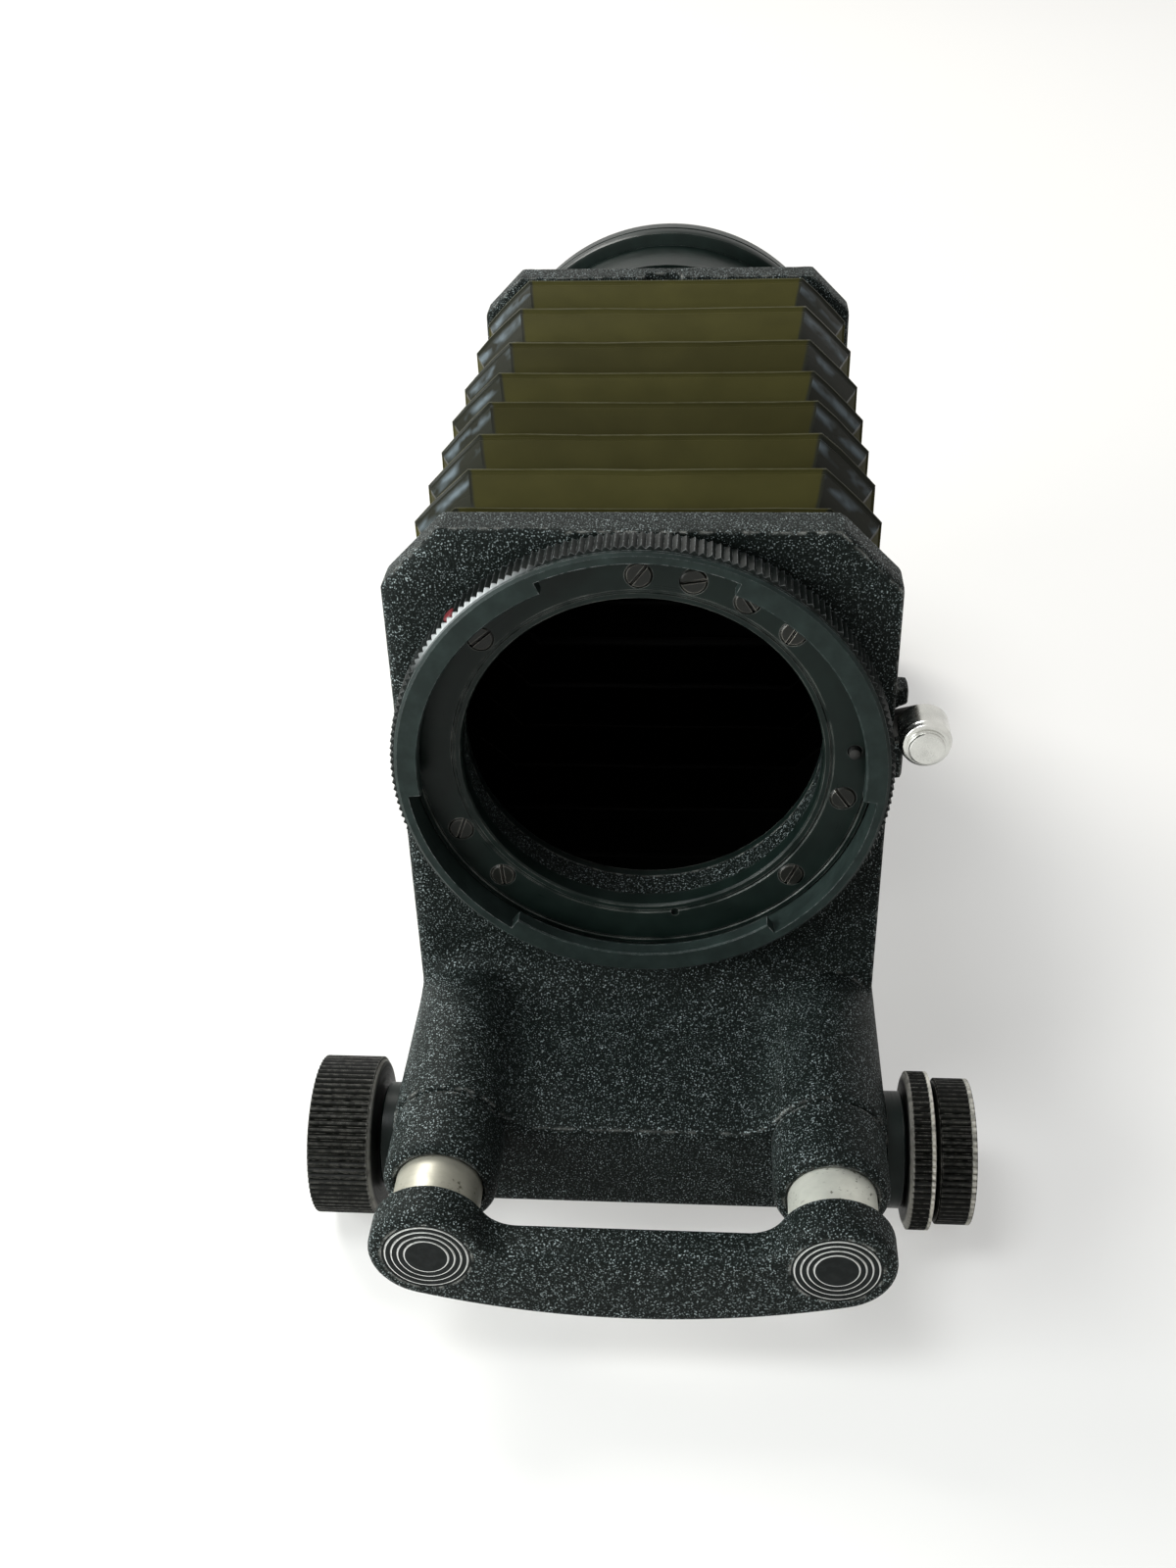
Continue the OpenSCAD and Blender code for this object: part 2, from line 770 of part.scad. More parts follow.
module rod_screw_holes() {
    hole_end_y = bar_front_y + cap_t + rod_screw_len + 0.5;
    y_bar(rod_screw_r + seat_play, 0, 0, rod_end_y - over, hole_end_y);
    at_rear() y_bar(rod_screw_r + seat_play, 0, 0, rod_end_y - over, hole_end_y);
}

// Outline of an end bar: round ends, straight waist, curved lower edge
module bar_outline() {
    waist_z = rod_z + bar_waist_rise;
    fillet_z = waist_z + bar_fillet_r;
    reach = bar_end_r + bar_fillet_r;
    fillet_x = rod_x - sqrt(reach * reach - (fillet_z - rod_z) * (fillet_z - rod_z));
    low_z = rod_z - bar_belly_drop;
    for (side = [-1, 1])
        translate([side * rod_x, rod_z])
            circle(r = bar_end_r);
    difference() {
        intersection() {
            translate([0, low_z + bar_belly_r])
                circle(r = bar_belly_r, $fn = 360);
            polygon([
                [-rod_x, low_z], [-rod_x, rod_z], [-fillet_x, fillet_z],
                [fillet_x, fillet_z], [rod_x, rod_z], [rod_x, low_z]
            ]);
        }
        for (side = [-1, 1])
            translate([side * fillet_x, fillet_z])
                circle(r = bar_fillet_r);
        translate([-fillet_x, waist_z])
            square([2 * fillet_x, fillet_z - waist_z + over]);
    }
}

// End bar: the rods enter from behind, their screws and caps from in front
module end_bar() {
    color("#1e1f21")
        difference() {
            y_prism(bar_front_y, bar_back_y)
                bar_outline();
            at_rods() {
                y_bar(rod_r + seat_play, 0, 0, rod_end_y - seat_play, bar_back_y + over);
                y_bar(rod_screw_r + 0.1, 0, 0, bar_front_y, bar_back_y);
                y_bar(rod_screw_head_r + 0.1, 0, 0, bar_front_y, bar_front_y + cap_t + rod_screw_head_t);
                y_bar(cap_r + seat_play, 0, 0, bar_front_y - over, bar_front_y + cap_t);
            }
        }
}

module end_bar_front() { end_bar(); }
module end_bar_rear() { at_rear() end_bar(); }

// Thin caps over the rod screws, each with engraved rings
module bar_caps() {
    first_r = cap_r * 0.5;
    ring_step = (cap_r - 0.3 - first_r) / (cap_rings - 1);
    color("#18191a")
        at_rods()
            difference() {
                y_bar(cap_r, 0, 0, bar_front_y, bar_front_y + cap_t);
                for (i = [0 : cap_rings - 1])
                    y_turned([
                        [first_r + ring_step * i, bar_front_y - over],
                        [first_r + ring_step * i + engraving_w, bar_front_y - over],
                        [first_r + ring_step * i + engraving_w, bar_front_y + engraving_deep],
                        [first_r + ring_step * i, bar_front_y + engraving_deep]
                    ]);
            }
}
engraving_w = 0.14;
engraving_deep = 0.12;

module bar_caps_front() { bar_caps(); }
module bar_caps_rear() { at_rear() bar_caps(); }

module rod_screws() {
    color("#9a9a98")
        at_rods()
            translate([0, bar_front_y + cap_t, 0])
                slotted_screw(rod_screw_head_r, rod_screw_r, rod_screw_head_t, rod_screw_len, 35);
}

module rod_screws_front() { rod_screws(); }
module rod_screws_rear() { at_rear() rod_screws(); }

// Fixed flange that the lens seats on, held by small slotted screws
module lens_flange() {
    color("#17181a")
        difference() {
            y_turned([
                [throat_r, -flange_rise], [flange_r, -flange_rise],
                [flange_r, flange_rim_t - flange_rise], [lip_r, flange_rim_t - flange_rise],
                [lip_r, flange_seat], [throat_r, flange_seat]
            ]);
            for (a = screw_angles)
                translate([screw_circle_r * cos(a), 0, screw_circle_r * sin(a)]) {
                    y_bar(screw_shank_r + seat_play, 0, 0, -over - flange_rise, flange_seat + over);
                    y_bar(screw_head_r + seat_play, 0, 0, -over - flange_rise, flange_screw_t - flange_rise);
                }
            y_bar(pin_r + 0.15, pin_x, pin_z, -over - flange_rise, flange_seat + over);
            y_bar(mark_r, mark_at * cos(mark_angle), mark_at * sin(mark_angle),
                -over - flange_rise, mark_deep - flange_rise);
        }
}
mark_r = 0.5;
mark_at = throat_r + 1.3;
mark_angle = -80;
mark_deep = 0.4;

module lens_flange_screws() {
    color("#2b2c2e")
        for (i = [0 : len(screw_angles) - 1])
            translate([screw_circle_r * cos(screw_angles[i]), -flange_rise,
                screw_circle_r * sin(screw_angles[i])])
                slotted_screw(screw_head_r, screw_shank_r - seat_play, flange_screw_t,
                    flange_screw_len, slot_angles[i]);
}

// Wedge outline from the lens axis, used to cut the recesses between the lugs
module wedge(a, width, r) {
    polygon([
        [0, 0],
        [r * cos(a - width / 2) * 1.2, r * sin(a - width / 2) * 1.2],
        [r * cos(a) * 1.5, r * sin(a) * 1.5],
        [r * cos(a + width / 2) * 1.2, r * sin(a + width / 2) * 1.2]
    ]);
}

// Knurled ring whose three lugs close over the lens's tabs
module lens_lock_ring() {
    lip_bore = lip_r + 0.1;
    rim_back_y = flange_rim_t - flange_rise + 0.1;
    core_r = ring_r - knurl_depth - knurl_step;
    color("#141517")
        difference() {
            union() {
                y_turned([
                    [lug_r, -ring_t], [core_r - 0.3, -ring_t], [core_r, 0.3 - ring_t],
                    [core_r, ring_back_y], [lip_bore, ring_back_y],
                    [lip_bore, rim_back_y], [groove_r, rim_back_y],
                    [groove_r, lug_t - ring_t], [lug_r, lug_t - ring_t]
                ]);
                y_prism(0.7 - ring_t, -0.7)
                    difference() {
                        knurl_outline(ring_r, ring_ridges, knurl_depth);
                        circle(r = groove_r + 0.5);
                    }
            }
            for (a = recess_angles)
                y_prism(-ring_t - over, lug_t - ring_t + 0.01)
                    intersection() {
                        circle(r = groove_r);
                        wedge(a, recess_angle, groove_r);
                    }
            rotate([0, -dot_angle, 0])
                translate([ring_r - dot_deep, dot_y, 0])
                    rotate([0, 90, 0])
                        cylinder(r = dot_r + seat_play, h = dot_deep + over);
        }
}

module ring_index_dot() {
    color("#a3182a")
        rotate([0, -dot_angle, 0])
            translate([ring_r - dot_deep + seat_play, dot_y, 0])
                rotate([0, 90, 0])
                    cylinder(r = dot_r, h = dot_deep);
}
dot_r = 0.8;
dot_deep = 1;
dot_y = -ring_t / 2 - 0.9;

module release_button() {
    color("#d9dad8")
        translate([button_x, 0, button_z])
            y_turned([
                [0, -button_out], [button_face_r, -button_out],
                [button_face_r, 0.7 - button_out], [button_face_r - 0.3, 0.9 - button_out],
                [button_r - 0.2, button_back_y - 1.2], [button_r, button_back_y - 1],
                [button_r, button_back_y], [button_stem_r, button_back_y],
                [button_stem_r, arm_front_y], [0, arm_front_y]
            ]);
}

// Arm inside the plate that carries the lens's lock pin
module release_arm() {
    color("#2c2d30") {
        y_prism(arm_front_y, arm_front_y + arm_t)
            arm_outline(0);
        y_bar(pin_r, pin_x, pin_z, -flange_rise - pin_out, arm_front_y + 0.1);
    }
}

pin_out = 0.8;
leaf_t = 0.25;
leaf_w = 1.6;
leaf_len = 4.8;

// Bowed leaf spring behind the arm, half way between pin and button
module release_spring() {
    leaf_front_y = arm_front_y + arm_t + 0.1;
    rise = plate_t - 0.15 - leaf_front_y;
    half_chord = leaf_len / 2;
    bow_r = (half_chord * half_chord + rise * rise) / (2 * rise);
    color("#8f9193")
        translate([(pin_x + button_x) / 2, leaf_front_y + bow_r, (pin_z + button_z) / 2])
            translate([0, 0, -leaf_w / 2])
                linear_extrude(height = leaf_w)
                    intersection() {
                        difference() {
                            circle(r = bow_r);
                            circle(r = bow_r - leaf_t);
                        }
                        translate([-half_chord, -bow_r - over])
                            square([2 * half_chord, rise + over]);
                    }
}

// Octagon with a cut across each corner, as [x, z] points
function octagon(half, cut) = [
    [half, half - cut], [half - cut, half], [cut - half, half], [-half, half - cut],
    [-half, cut - half], [cut - half, -half], [half - cut, -half], [half, cut - half]
];

module octagon_outline(half, cut) {
    polygon(octagon(half, cut));
}

// Frame that holds the end of the bellows on a plate's inner face
module bellows_frame() {
    color("#2d2e30")
        difference() {
            y_prism(plate_t, plate_t + frame_t)
                octagon_outline(frame_half, valley_chamfer - 0.3);
            y_bar(light_r, 0, 0, plate_t - over, plate_t + frame_t + over);
            for (sx = [-1, 1], sz = [-1, 1])
                translate([sx * frame_screw_at, 0, sz * frame_screw_at])
                    y_bar(frame_screw_r + seat_play, 0, 0, plate_t - over, plate_t + frame_t + over);
        }
}

module front_bellows_frame() { bellows_frame(); }
module rear_bellows_frame() { at_rear() bellows_frame(); }

module frame_screws() {
    color("#4a4b4d")
        for (sx = [-1, 1], sz = [-1, 1])
            translate([sx * frame_screw_at, plate_t + frame_t + frame_head_t, sz * frame_screw_at])
                rotate([0, 0, 180])
                    slotted_screw(frame_head_r, frame_screw_r - seat_play, frame_head_t,
                        frame_screw_len, 45);
}

module front_frame_screws() { frame_screws(); }
module rear_frame_screws() { at_rear() frame_screws(); }

// Pleated tube through the given sections, each [y, half, cut]
module pleated_tube(sections) {
    n = len(sections);
    outer = [for (s = sections) for (p = octagon(s[1], s[2])) [p[0], s[0], p[1]]];
    inner = [for (s = sections)
        for (p = octagon(s[1] - cloth_t, s[2] - cloth_t * 0.586)) [p[0], s[0], p[1]]];
    skin = [for (k = [0 : n - 2], i = [0 : 7])
        let(a = k * 8 + i, b = k * 8 + (i + 1) % 8) [a, b, b + 8, a + 8]];
    lining = [for (q = skin) [q[3] + 8 * n, q[2] + 8 * n, q[1] + 8 * n, q[0] + 8 * n]];
    last = (n - 1) * 8;
    front = [for (i = [0 : 7]) let(j = (i + 1) % 8) [j, i, i + 8 * n, j + 8 * n]];
    back = [for (i = [0 : 7]) let(j = (i + 1) % 8)
        [last + i, last + j, last + j + 8 * n, last + i + 8 * n]];
    polyhedron(points = concat(outer, inner), faces = concat(skin, lining, front, back));
}

// Sections of one half: valley, then a crest and a valley for each pleat
function half_sections(y0, crests, y1) = concat(
    [[y0, valley_half, valley_chamfer]],
    [for (i = [0 : len(crests) - 1])
        let(next = i == len(crests) - 1 ? y1 : (crests[i] + crests[i + 1]) / 2)
        each [[crests[i], crest_half, crest_chamfer], [next, valley_half, valley_chamfer]]]
);

module bellows_front_half() {
    color("#2b2a22")
        pleated_tube(half_sections(plate_t, [for (i = [0 : half_pleats - 1]) crest_y[i]], bellows_mid_y));
}

module bellows_rear_half() {
    color("#2b2a22")
        pleated_tube(half_sections(bellows_mid_y,
            [for (i = [half_pleats : 2 * half_pleats - 1]) crest_y[i]], rear_plate_y));
}

module rear_neck() {
    neck_y = rear_face_y;
    color("#1b1c1e")
        difference() {
            y_turned([
                [light_r, neck_y], [neck_r, neck_y], [neck_r, neck_y + neck_len],
                [light_r, neck_y + neck_len]
            ]);
            for (a = neck_screw_angles)
                y_bar(neck_screw_r, neck_circle_r * cos(a), neck_circle_r * sin(a),
                    neck_y - over, neck_y + neck_screw_len - plate_t + 0.5);
        }
}

module rear_neck_screws() {
    color("#4a4b4d")
        for (a = neck_screw_angles)
            translate([neck_circle_r * cos(a), rear_face_y - plate_t, neck_circle_r * sin(a)])
                slotted_screw(neck_head_r, neck_screw_r - seat_play, neck_head_t, neck_screw_len, a + 45);
}

camera_ring_y = rear_face_y + neck_len;
camera_seat_y = camera_ring_y + camera_ring_w;

module camera_ring() {
    bevel = 0.5;
    color("#18191b")
        difference() {
            y_turned([
                [light_r, camera_ring_y], [camera_ring_r - bevel, camera_ring_y],
                [camera_ring_r, camera_ring_y + bevel], [camera_ring_r, camera_seat_y - bevel],
                [camera_ring_r - bevel, camera_seat_y], [light_r, camera_seat_y]
            ]);
            y_bar(spigot_seat_r + seat_play, 0, 0, camera_seat_y - spigot_base_t, camera_seat_y + over);
            for (a = spigot_screw_angles)
                y_bar(spigot_screw_r, spigot_circle_r * cos(a), spigot_circle_r * sin(a),
                    camera_seat_y - spigot_screw_len - 0.4, camera_seat_y);
        }
}
spigot_base_t = 1.4;
spigot_screw_angles = [30, 102, 174, 246, 318];
spigot_circle_r = (spigot_r + spigot_seat_r) / 2;
spigot_screw_r = 0.6;
spigot_screw_len = 3.6;
spigot_head_r = seat_w / 2 - 0.15;
spigot_head_t = 0.6;
tab_angle = 46;
tab_t = 1.5;

// Tube with three tabs that turns into the camera's own mount
module camera_spigot() {
    end_y = camera_seat_y + spigot_out;
    base_y = camera_seat_y - spigot_base_t;
    color("#c4c4c0")
        difference() {
            union() {
                y_turned([
                    [throat_r, base_y], [spigot_seat_r, base_y], [spigot_seat_r, camera_seat_y],
                    [spigot_r, camera_seat_y], [spigot_r, end_y], [throat_r, end_y]
                ]);
                for (a = recess_angles)
                    y_prism(end_y - tab_t, end_y)
                        intersection() {
                            difference() {
                                circle(r = tab_r);
                                circle(r = (throat_r + spigot_r) / 2);
                            }
                            wedge(a, tab_angle, tab_r);
                        }
            }
            for (a = spigot_screw_angles)
                translate([spigot_circle_r * cos(a), 0, spigot_circle_r * sin(a)]) {
                    y_bar(spigot_screw_r + seat_play, 0, 0, base_y - over, camera_seat_y + over);
                    y_bar(spigot_head_r + seat_play, 0, 0, camera_seat_y - spigot_head_t, camera_seat_y + over);
                }
        }
}

module camera_spigot_screws() {
    color("#8c8c8a")
        for (a = spigot_screw_angles)
            translate([spigot_circle_r * cos(a), camera_seat_y, spigot_circle_r * sin(a)])
                rotate([0, 0, 180])
                    slotted_screw(spigot_head_r, spigot_screw_r - seat_play, spigot_head_t,
                        spigot_screw_len, a);
}

// Outline of the tripod block: a sleeve round each rod, a web and a foot
module block_outline() {
    foot_z = rod_z - foot_drop;
    for (side = [-1, 1])
        translate([side * rod_x, rod_z])
            circle(r = sleeve_r);
    translate([-rod_x, rod_z - sleeve_r])
        square([2 * rod_x, web_t]);
    translate([-foot_w / 2, foot_z])
        square([foot_w, foot_drop]);
    translate([-foot_w / 2 - foot_rim, foot_z])
        square([foot_w + 2 * foot_rim, foot_t]);
}
block_y = mid_y;
foot_rim = 3;
web_t = 9.5;

module tripod_block() {
    foot_z = rod_z - foot_drop;
    color("#202123")
        difference() {
            y_prism(block_y - block_len / 2, block_y + block_len / 2)
                block_outline();
            at_rods() {
                y_bar(rod_r + seat_play, 0, 0, block_y - block_len, block_y + block_len);
                translate([0, block_y, -sleeve_r - over])
                    cylinder(r = clamp_screw_r + seat_play, h = sleeve_r);
            }
            translate([0, block_y, foot_z - over])
                cylinder(r = tripod_bush_r + seat_play, h = tripod_depth + 1 + over);
        }
}
clamp_screw_r = 2;

// Bush with the tripod's thread, drawn as a plain bore
module tripod_bush() {
    foot_z = rod_z - foot_drop;
    color("#b9b9b6")
        translate([0, block_y, foot_z])
            difference() {
                cylinder(r = tripod_bush_r, h = tripod_depth + 1);
                translate([0, 0, -over])
                    cylinder(r = tripod_r, h = tripod_depth + over);
            }
}

// Grub screws that pinch the tripod block on the rods
module block_clamp_screws() {
    color("#8c8c8a")
        at_rods()
            translate([0, block_y, -sleeve_r])
                cylinder(r = clamp_screw_r, h = sleeve_r - rod_r - 0.05);
}

rod_left();
rod_right();
end_bar_front();
end_bar_rear();
bar_caps_front();
bar_caps_rear();
rod_screws_front();
rod_screws_rear();
tripod_block();
tripod_bush();
block_clamp_screws();
front_casting();
front_collars();
front_guide_bushes();
front_shaft_bush();
front_lock_boss();
lens_flange();
lens_flange_screws();
front_bellows_frame();
front_frame_screws();
bellows_front_half();
lens_lock_ring();
ring_index_dot();
release_button();
release_arm();
release_spring();
front_pinion_shaft();
front_knob_wide();
front_knob_narrow();
front_knob_screws();
front_clamp_ring();
rear_casting();
rear_collars();
rear_guide_bushes();
rear_shaft_bush();
rear_lock_boss();
rear_neck();
rear_neck_screws();
camera_ring();
camera_spigot();
camera_spigot_screws();
rear_bellows_frame();
rear_frame_screws();
bellows_rear_half();
rear_pinion_shaft();
rear_knob_wide();
rear_knob_narrow();
rear_knob_screws();
rear_clamp_ring();
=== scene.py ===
"""Close-up bellows unit: two black cast standards on chromed rods, a pleated bellows between them, drawn in metres."""

import logging
import math
from dataclasses import dataclass
from enum import Enum
from typing import Callable, Sequence

import bmesh
import bpy
from mathutils import Matrix, Vector, noise


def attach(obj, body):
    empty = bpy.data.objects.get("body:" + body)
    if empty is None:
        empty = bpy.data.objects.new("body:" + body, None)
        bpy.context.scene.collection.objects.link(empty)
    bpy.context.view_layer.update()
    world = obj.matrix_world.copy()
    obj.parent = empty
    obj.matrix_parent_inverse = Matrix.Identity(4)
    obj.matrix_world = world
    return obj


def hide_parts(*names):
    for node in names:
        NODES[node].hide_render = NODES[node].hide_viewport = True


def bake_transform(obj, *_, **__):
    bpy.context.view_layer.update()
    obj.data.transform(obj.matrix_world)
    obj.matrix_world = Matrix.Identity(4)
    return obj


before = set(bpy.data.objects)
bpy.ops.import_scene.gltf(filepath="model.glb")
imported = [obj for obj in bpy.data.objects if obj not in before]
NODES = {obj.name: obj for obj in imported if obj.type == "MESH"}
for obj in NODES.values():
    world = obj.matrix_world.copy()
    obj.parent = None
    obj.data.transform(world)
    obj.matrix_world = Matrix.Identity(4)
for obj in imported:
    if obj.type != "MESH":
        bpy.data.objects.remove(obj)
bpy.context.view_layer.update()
LOG = logging.getLogger("bellows_unit")

MM = 0.001
Point = tuple[float, float]
Place = tuple[float, float, float]
Colour = tuple[float, float, float]
CLOTH_MARKS = ("fold", "tone", "corner")
STEEL: Colour = (0.40, 0.40, 0.38)
BRASS: Colour = (0.55, 0.40, 0.16)


class Axis(Enum):
    """The way a turned or pushed shape points."""

    X = 0
    Y = 1
    Z = 2


# ---------------------------------------------------------------------------------------------------------------------
# Finishes
# ---------------------------------------------------------------------------------------------------------------------


class Paint:
    """A node tree being laid out: each call adds one node, sets it up and returns the socket it gives."""

    def __init__(self, name: str) -> None:
        """Starts an empty material with one shader.

        Args:
            name: The finish's name.
        """
        self.material = bpy.data.materials.new(name)
        self.material.use_nodes = True
        self.tree = self.material.node_tree
        self.shader = self.tree.nodes["Principled BSDF"]
        self.place = self.add("ShaderNodeTexCoord").outputs["Object"]

    def add(self, kind: str, **settings: object) -> bpy.types.Node:
        """Adds a node.

        Args:
            kind: The node's type.
            settings: Values for its properties.

        Returns:
            The new node.
        """
        node = self.tree.nodes.new(kind)
        for key, value in settings.items():
            setattr(node, key, value)
        return node

    def feed(self, socket: bpy.types.NodeSocket, value: object) -> None:
        """Links a socket into another, or sets it to a plain value.

        Args:
            socket: The input.
            value: An output socket, a number or a vector.
        """
        if isinstance(value, bpy.types.NodeSocket):
            self.tree.links.new(value, socket)
        else:
            socket.default_value = value

    def sums(self, operation: str, first: object, second: object = 0.0, clamp: bool = False) -> bpy.types.NodeSocket:
        """Adds a number node.

        Args:
            operation: What it does, as the Math node names it.
            first: Its first input.
            second: Its second input.
            clamp: Whether the result stays between 0 and 1.

        Returns:
            The result.
        """
        node = self.add("ShaderNodeMath", operation=operation, use_clamp=clamp)
        for socket, value in zip(node.inputs, (first, second)):
            self.feed(socket, value)
        return node.outputs[0]

    def centred(self, centre: Place) -> bpy.types.NodeSocket:
        """Counts the object's coordinates from a point.

        Args:
            centre: The point, in millimetres.

        Returns:
            The new coordinates.
        """
        node = self.add("ShaderNodeMapping")
        self.feed(node.inputs["Vector"], self.place)
        node.inputs["Location"].default_value = tuple(-c * MM for c in centre)
        return node.outputs[0]

    def grain(self, size: float, detail: float = 2.0, rough: float = 0.5,
              place: bpy.types.NodeSocket | None = None) -> bpy.types.NodeSocket:
        """Adds cloudy noise.

        Args:
            size: The width of one blot, in millimetres.
            detail: How many finer layers it has.
            rough: How strong these are.
            place: The coordinates it reads.

        Returns:
            The noise, about 0.5 in the middle.
        """
        node = self.add("ShaderNodeTexNoise")
        self.feed(node.inputs["Vector"], place or self.place)
        node.inputs["Scale"].default_value = 1 / (size * MM)
        node.inputs["Detail"].default_value = detail
        node.inputs["Roughness"].default_value = rough
        return node.outputs["Fac"]

    def cells(self, size: float, smooth: float, place: bpy.types.NodeSocket | None = None) -> bpy.types.NodeSocket:
        """Adds a pattern of small round cells.

        Args:
            size: The width of one cell, in millimetres.
            smooth: How soft the cells' edges are.
            place: The coordinates it reads.

        Returns:
            The distance from each cell's middle.
        """
        node = self.add("ShaderNodeTexVoronoi", feature="SMOOTH_F1")
        self.feed(node.inputs["Vector"], place or self.place)
        node.inputs["Scale"].default_value = 1 / (size * MM)
        node.inputs["Smoothness"].default_value = smooth
        return node.outputs["Distance"]

    def span(self, value: object, low: float, high: float, out_low: float = 0.0,
             out_high: float = 1.0) -> bpy.types.NodeSocket:
        """Stretches a range of values onto another and clamps it.

        Args:
            value: The input.
            low: The input that gives out_low.
            high: The input that gives out_high.
            out_low: The first result.
            out_high: The last result.

        Returns:
            The result.
        """
        node = self.add("ShaderNodeMapRange")
        for socket, item in zip(node.inputs, (value, low, high, out_low, out_high)):
            self.feed(socket, item)
        return node.outputs["Result"]

    def blended(self, amount: object, first: object, second: object) -> bpy.types.NodeSocket:
        """Mixes two colours.

        Args:
            amount: How much of the second there is.
            first: The first colour.
            second: The second colour.

        Returns:
            The mixed colour.
        """
        node = self.add("ShaderNodeMix", data_type="RGBA")
        self.feed(node.inputs["Factor"], amount)
        self.feed(node.inputs["A"], (*first, 1.0) if isinstance(first, tuple) else first)
        self.feed(node.inputs["B"], (*second, 1.0) if isinstance(second, tuple) else second)
        return node.outputs["Result"]

    def split(self, place: bpy.types.NodeSocket | None = None) -> Sequence[bpy.types.NodeSocket]:
        """Splits coordinates into X, Y and Z.

        Args:
            place: The coordinates, or the object's own.

        Returns:
            The three parts.
        """
        node = self.add("ShaderNodeSeparateXYZ")
        self.feed(node.inputs[0], place or self.place)
        return node.outputs

    def joined(self, across: object, along: object, up: object) -> bpy.types.NodeSocket:
        """Joins three numbers into coordinates.

        Args:
            across: The first.
            along: The second.
            up: The third.

        Returns:
            The coordinates.
        """
        node = self.add("ShaderNodeCombineXYZ")
        for socket, value in zip(node.inputs, (across, along, up)):
            self.feed(socket, value)
        return node.outputs[0]

    def round_the(self, axis: Axis, centre: Place) -> tuple[bpy.types.NodeSocket, bpy.types.NodeSocket]:
        """Gives polar coordinates about an axle.

        Args:
            axis: The axle's way.
            centre: A point on it, in millimetres.

        Returns:
            The distance from the axle and the angle about it.
        """
        parts = self.split(self.centred(centre))
        first, second = {Axis.X: (1, 2), Axis.Y: (0, 2), Axis.Z: (0, 1)}[axis]
        across, up = parts[first], parts[second]
        return self.reach(across, up), self.sums("ARCTAN2", up, across)

    def reach(self, across: object, up: object) -> bpy.types.NodeSocket:
        """Gives the distance of a place from an axle.

        Args:
            across: Its first coordinate, counted from the axle.
            up: Its second one.

        Returns:
            The distance.
        """
        return self.sums("SQRT", self.sums("ADD", self.sums("POWER", across, 2.0), self.sums("POWER", up, 2.0)))

    def worn_edges(self, width: float, low: float, high: float) -> bpy.types.NodeSocket:
        """Finds edges that stick out, where the finish wears through.

        Args:
            width: How far from an edge the wear reaches, in millimetres.
            low: The least difference of normals that counts.
            high: The difference at which the wear is full.

        Returns:
            The wear, from 0 to 1.
        """
        bevel = self.add("ShaderNodeBevel", samples=6)
        bevel.inputs["Radius"].default_value = width * MM
        flat = self.add("ShaderNodeNewGeometry")
        node = self.add("ShaderNodeVectorMath", operation="DOT_PRODUCT")
        self.feed(node.inputs[0], bevel.outputs[0])
        self.feed(node.inputs[1], flat.outputs["Normal"])
        return self.span(self.sums("SUBTRACT", 1.0, node.outputs["Value"]), low, high)

    def bumped(self, height: bpy.types.NodeSocket, depth: float, strength: float = 1.0) -> bpy.types.NodeSocket:
        """Raises the surface.

        Args:
            height: The pattern.
            depth: How deep a step from 0 to 1 is, in millimetres.
            strength: How much of it shows.

        Returns:
            The new normal.
        """
        node = self.add("ShaderNodeBump")
        node.inputs["Strength"].default_value = strength
        node.inputs["Distance"].default_value = depth * MM
        self.feed(node.inputs["Height"], height)
        return node.outputs[0]

    def set(self, **values: object) -> None:
        """Sets the shader's inputs, by name with _ for a blank."""
        for key, value in values.items():
            socket = self.shader.inputs[key.replace("_", " ")]
            if isinstance(value, tuple) and len(value) == 3:
                value = (*value, 1.0)
            self.feed(socket, value)


@dataclass(frozen=True)
class CrinkleEnamel:
    """Black stove enamel that has dried in fine crinkles, on the castings and bars."""

    name: str = "crinkle_enamel"
    base: Colour = (0.0030, 0.0048, 0.0040)
    # Painted sheen on the crinkles' tops.
    crest: Colour = (0.014, 0.019, 0.018)
    # Painted glints on the highest grains.
    speck: Colour = (0.38, 0.44, 0.44)
    # Worn edges: partly real wear, partly a painted edge highlight.
    bare: Colour = (0.26, 0.26, 0.24)
    grain_mm: float = 0.19
    depth_mm: float = 0.13
    slot: str = "crinkle_black"

    def make(self) -> bpy.types.Material:
        """Lays out the crinkles, the painted sheen and glints, edges worn and painted as highlights, and larger
        patches.

        Returns:
            The finish.
        """
        p = Paint(self.name)
        bumps = p.sums("SUBTRACT", 1.0, p.cells(self.grain_mm * 1.3, 0.4))
        height = p.sums("ADD", p.sums("MULTIPLY", bumps, 0.3), p.sums("MULTIPLY", p.grain(self.grain_mm, 1.0), 0.7))
        tops = p.span(height, 0.47, 0.62)
        patch = p.span(p.grain(6.0, 2.0), 0.35, 0.7, 0.55, 1.2)
        # Painted sheen: the crinkles' tops are paler, more so in some patches.
        colour = p.blended(p.sums("MULTIPLY", tops, patch), self.base, self.crest)
        # Painted glints: bright specks on the highest grains.
        specks = p.sums("MULTIPLY", p.span(height, 0.585, 0.675), p.span(p.grain(2.0, 2.0), 0.3, 0.65, 0.3, 1.0))
        colour = p.blended(p.sums("MULTIPLY", specks, 0.85), colour, self.speck)
        # Edge wear: partly rubbed-through enamel and partly a painted edge highlight.
        wear = p.sums("MULTIPLY", p.worn_edges(0.7, 0.012, 0.11), p.span(p.grain(1.3, 3.0), 0.45, 0.62), clamp=True)
        colour = p.blended(p.sums("MULTIPLY", wear, 0.8), colour, self.bare)
        p.set(Base_Color=colour, Roughness=p.span(tops, 0.0, 1.0, 0.6, 0.4), Specular_IOR_Level=0.07,
              Normal=p.bumped(height, self.depth_mm, 1.0))
        return p.material


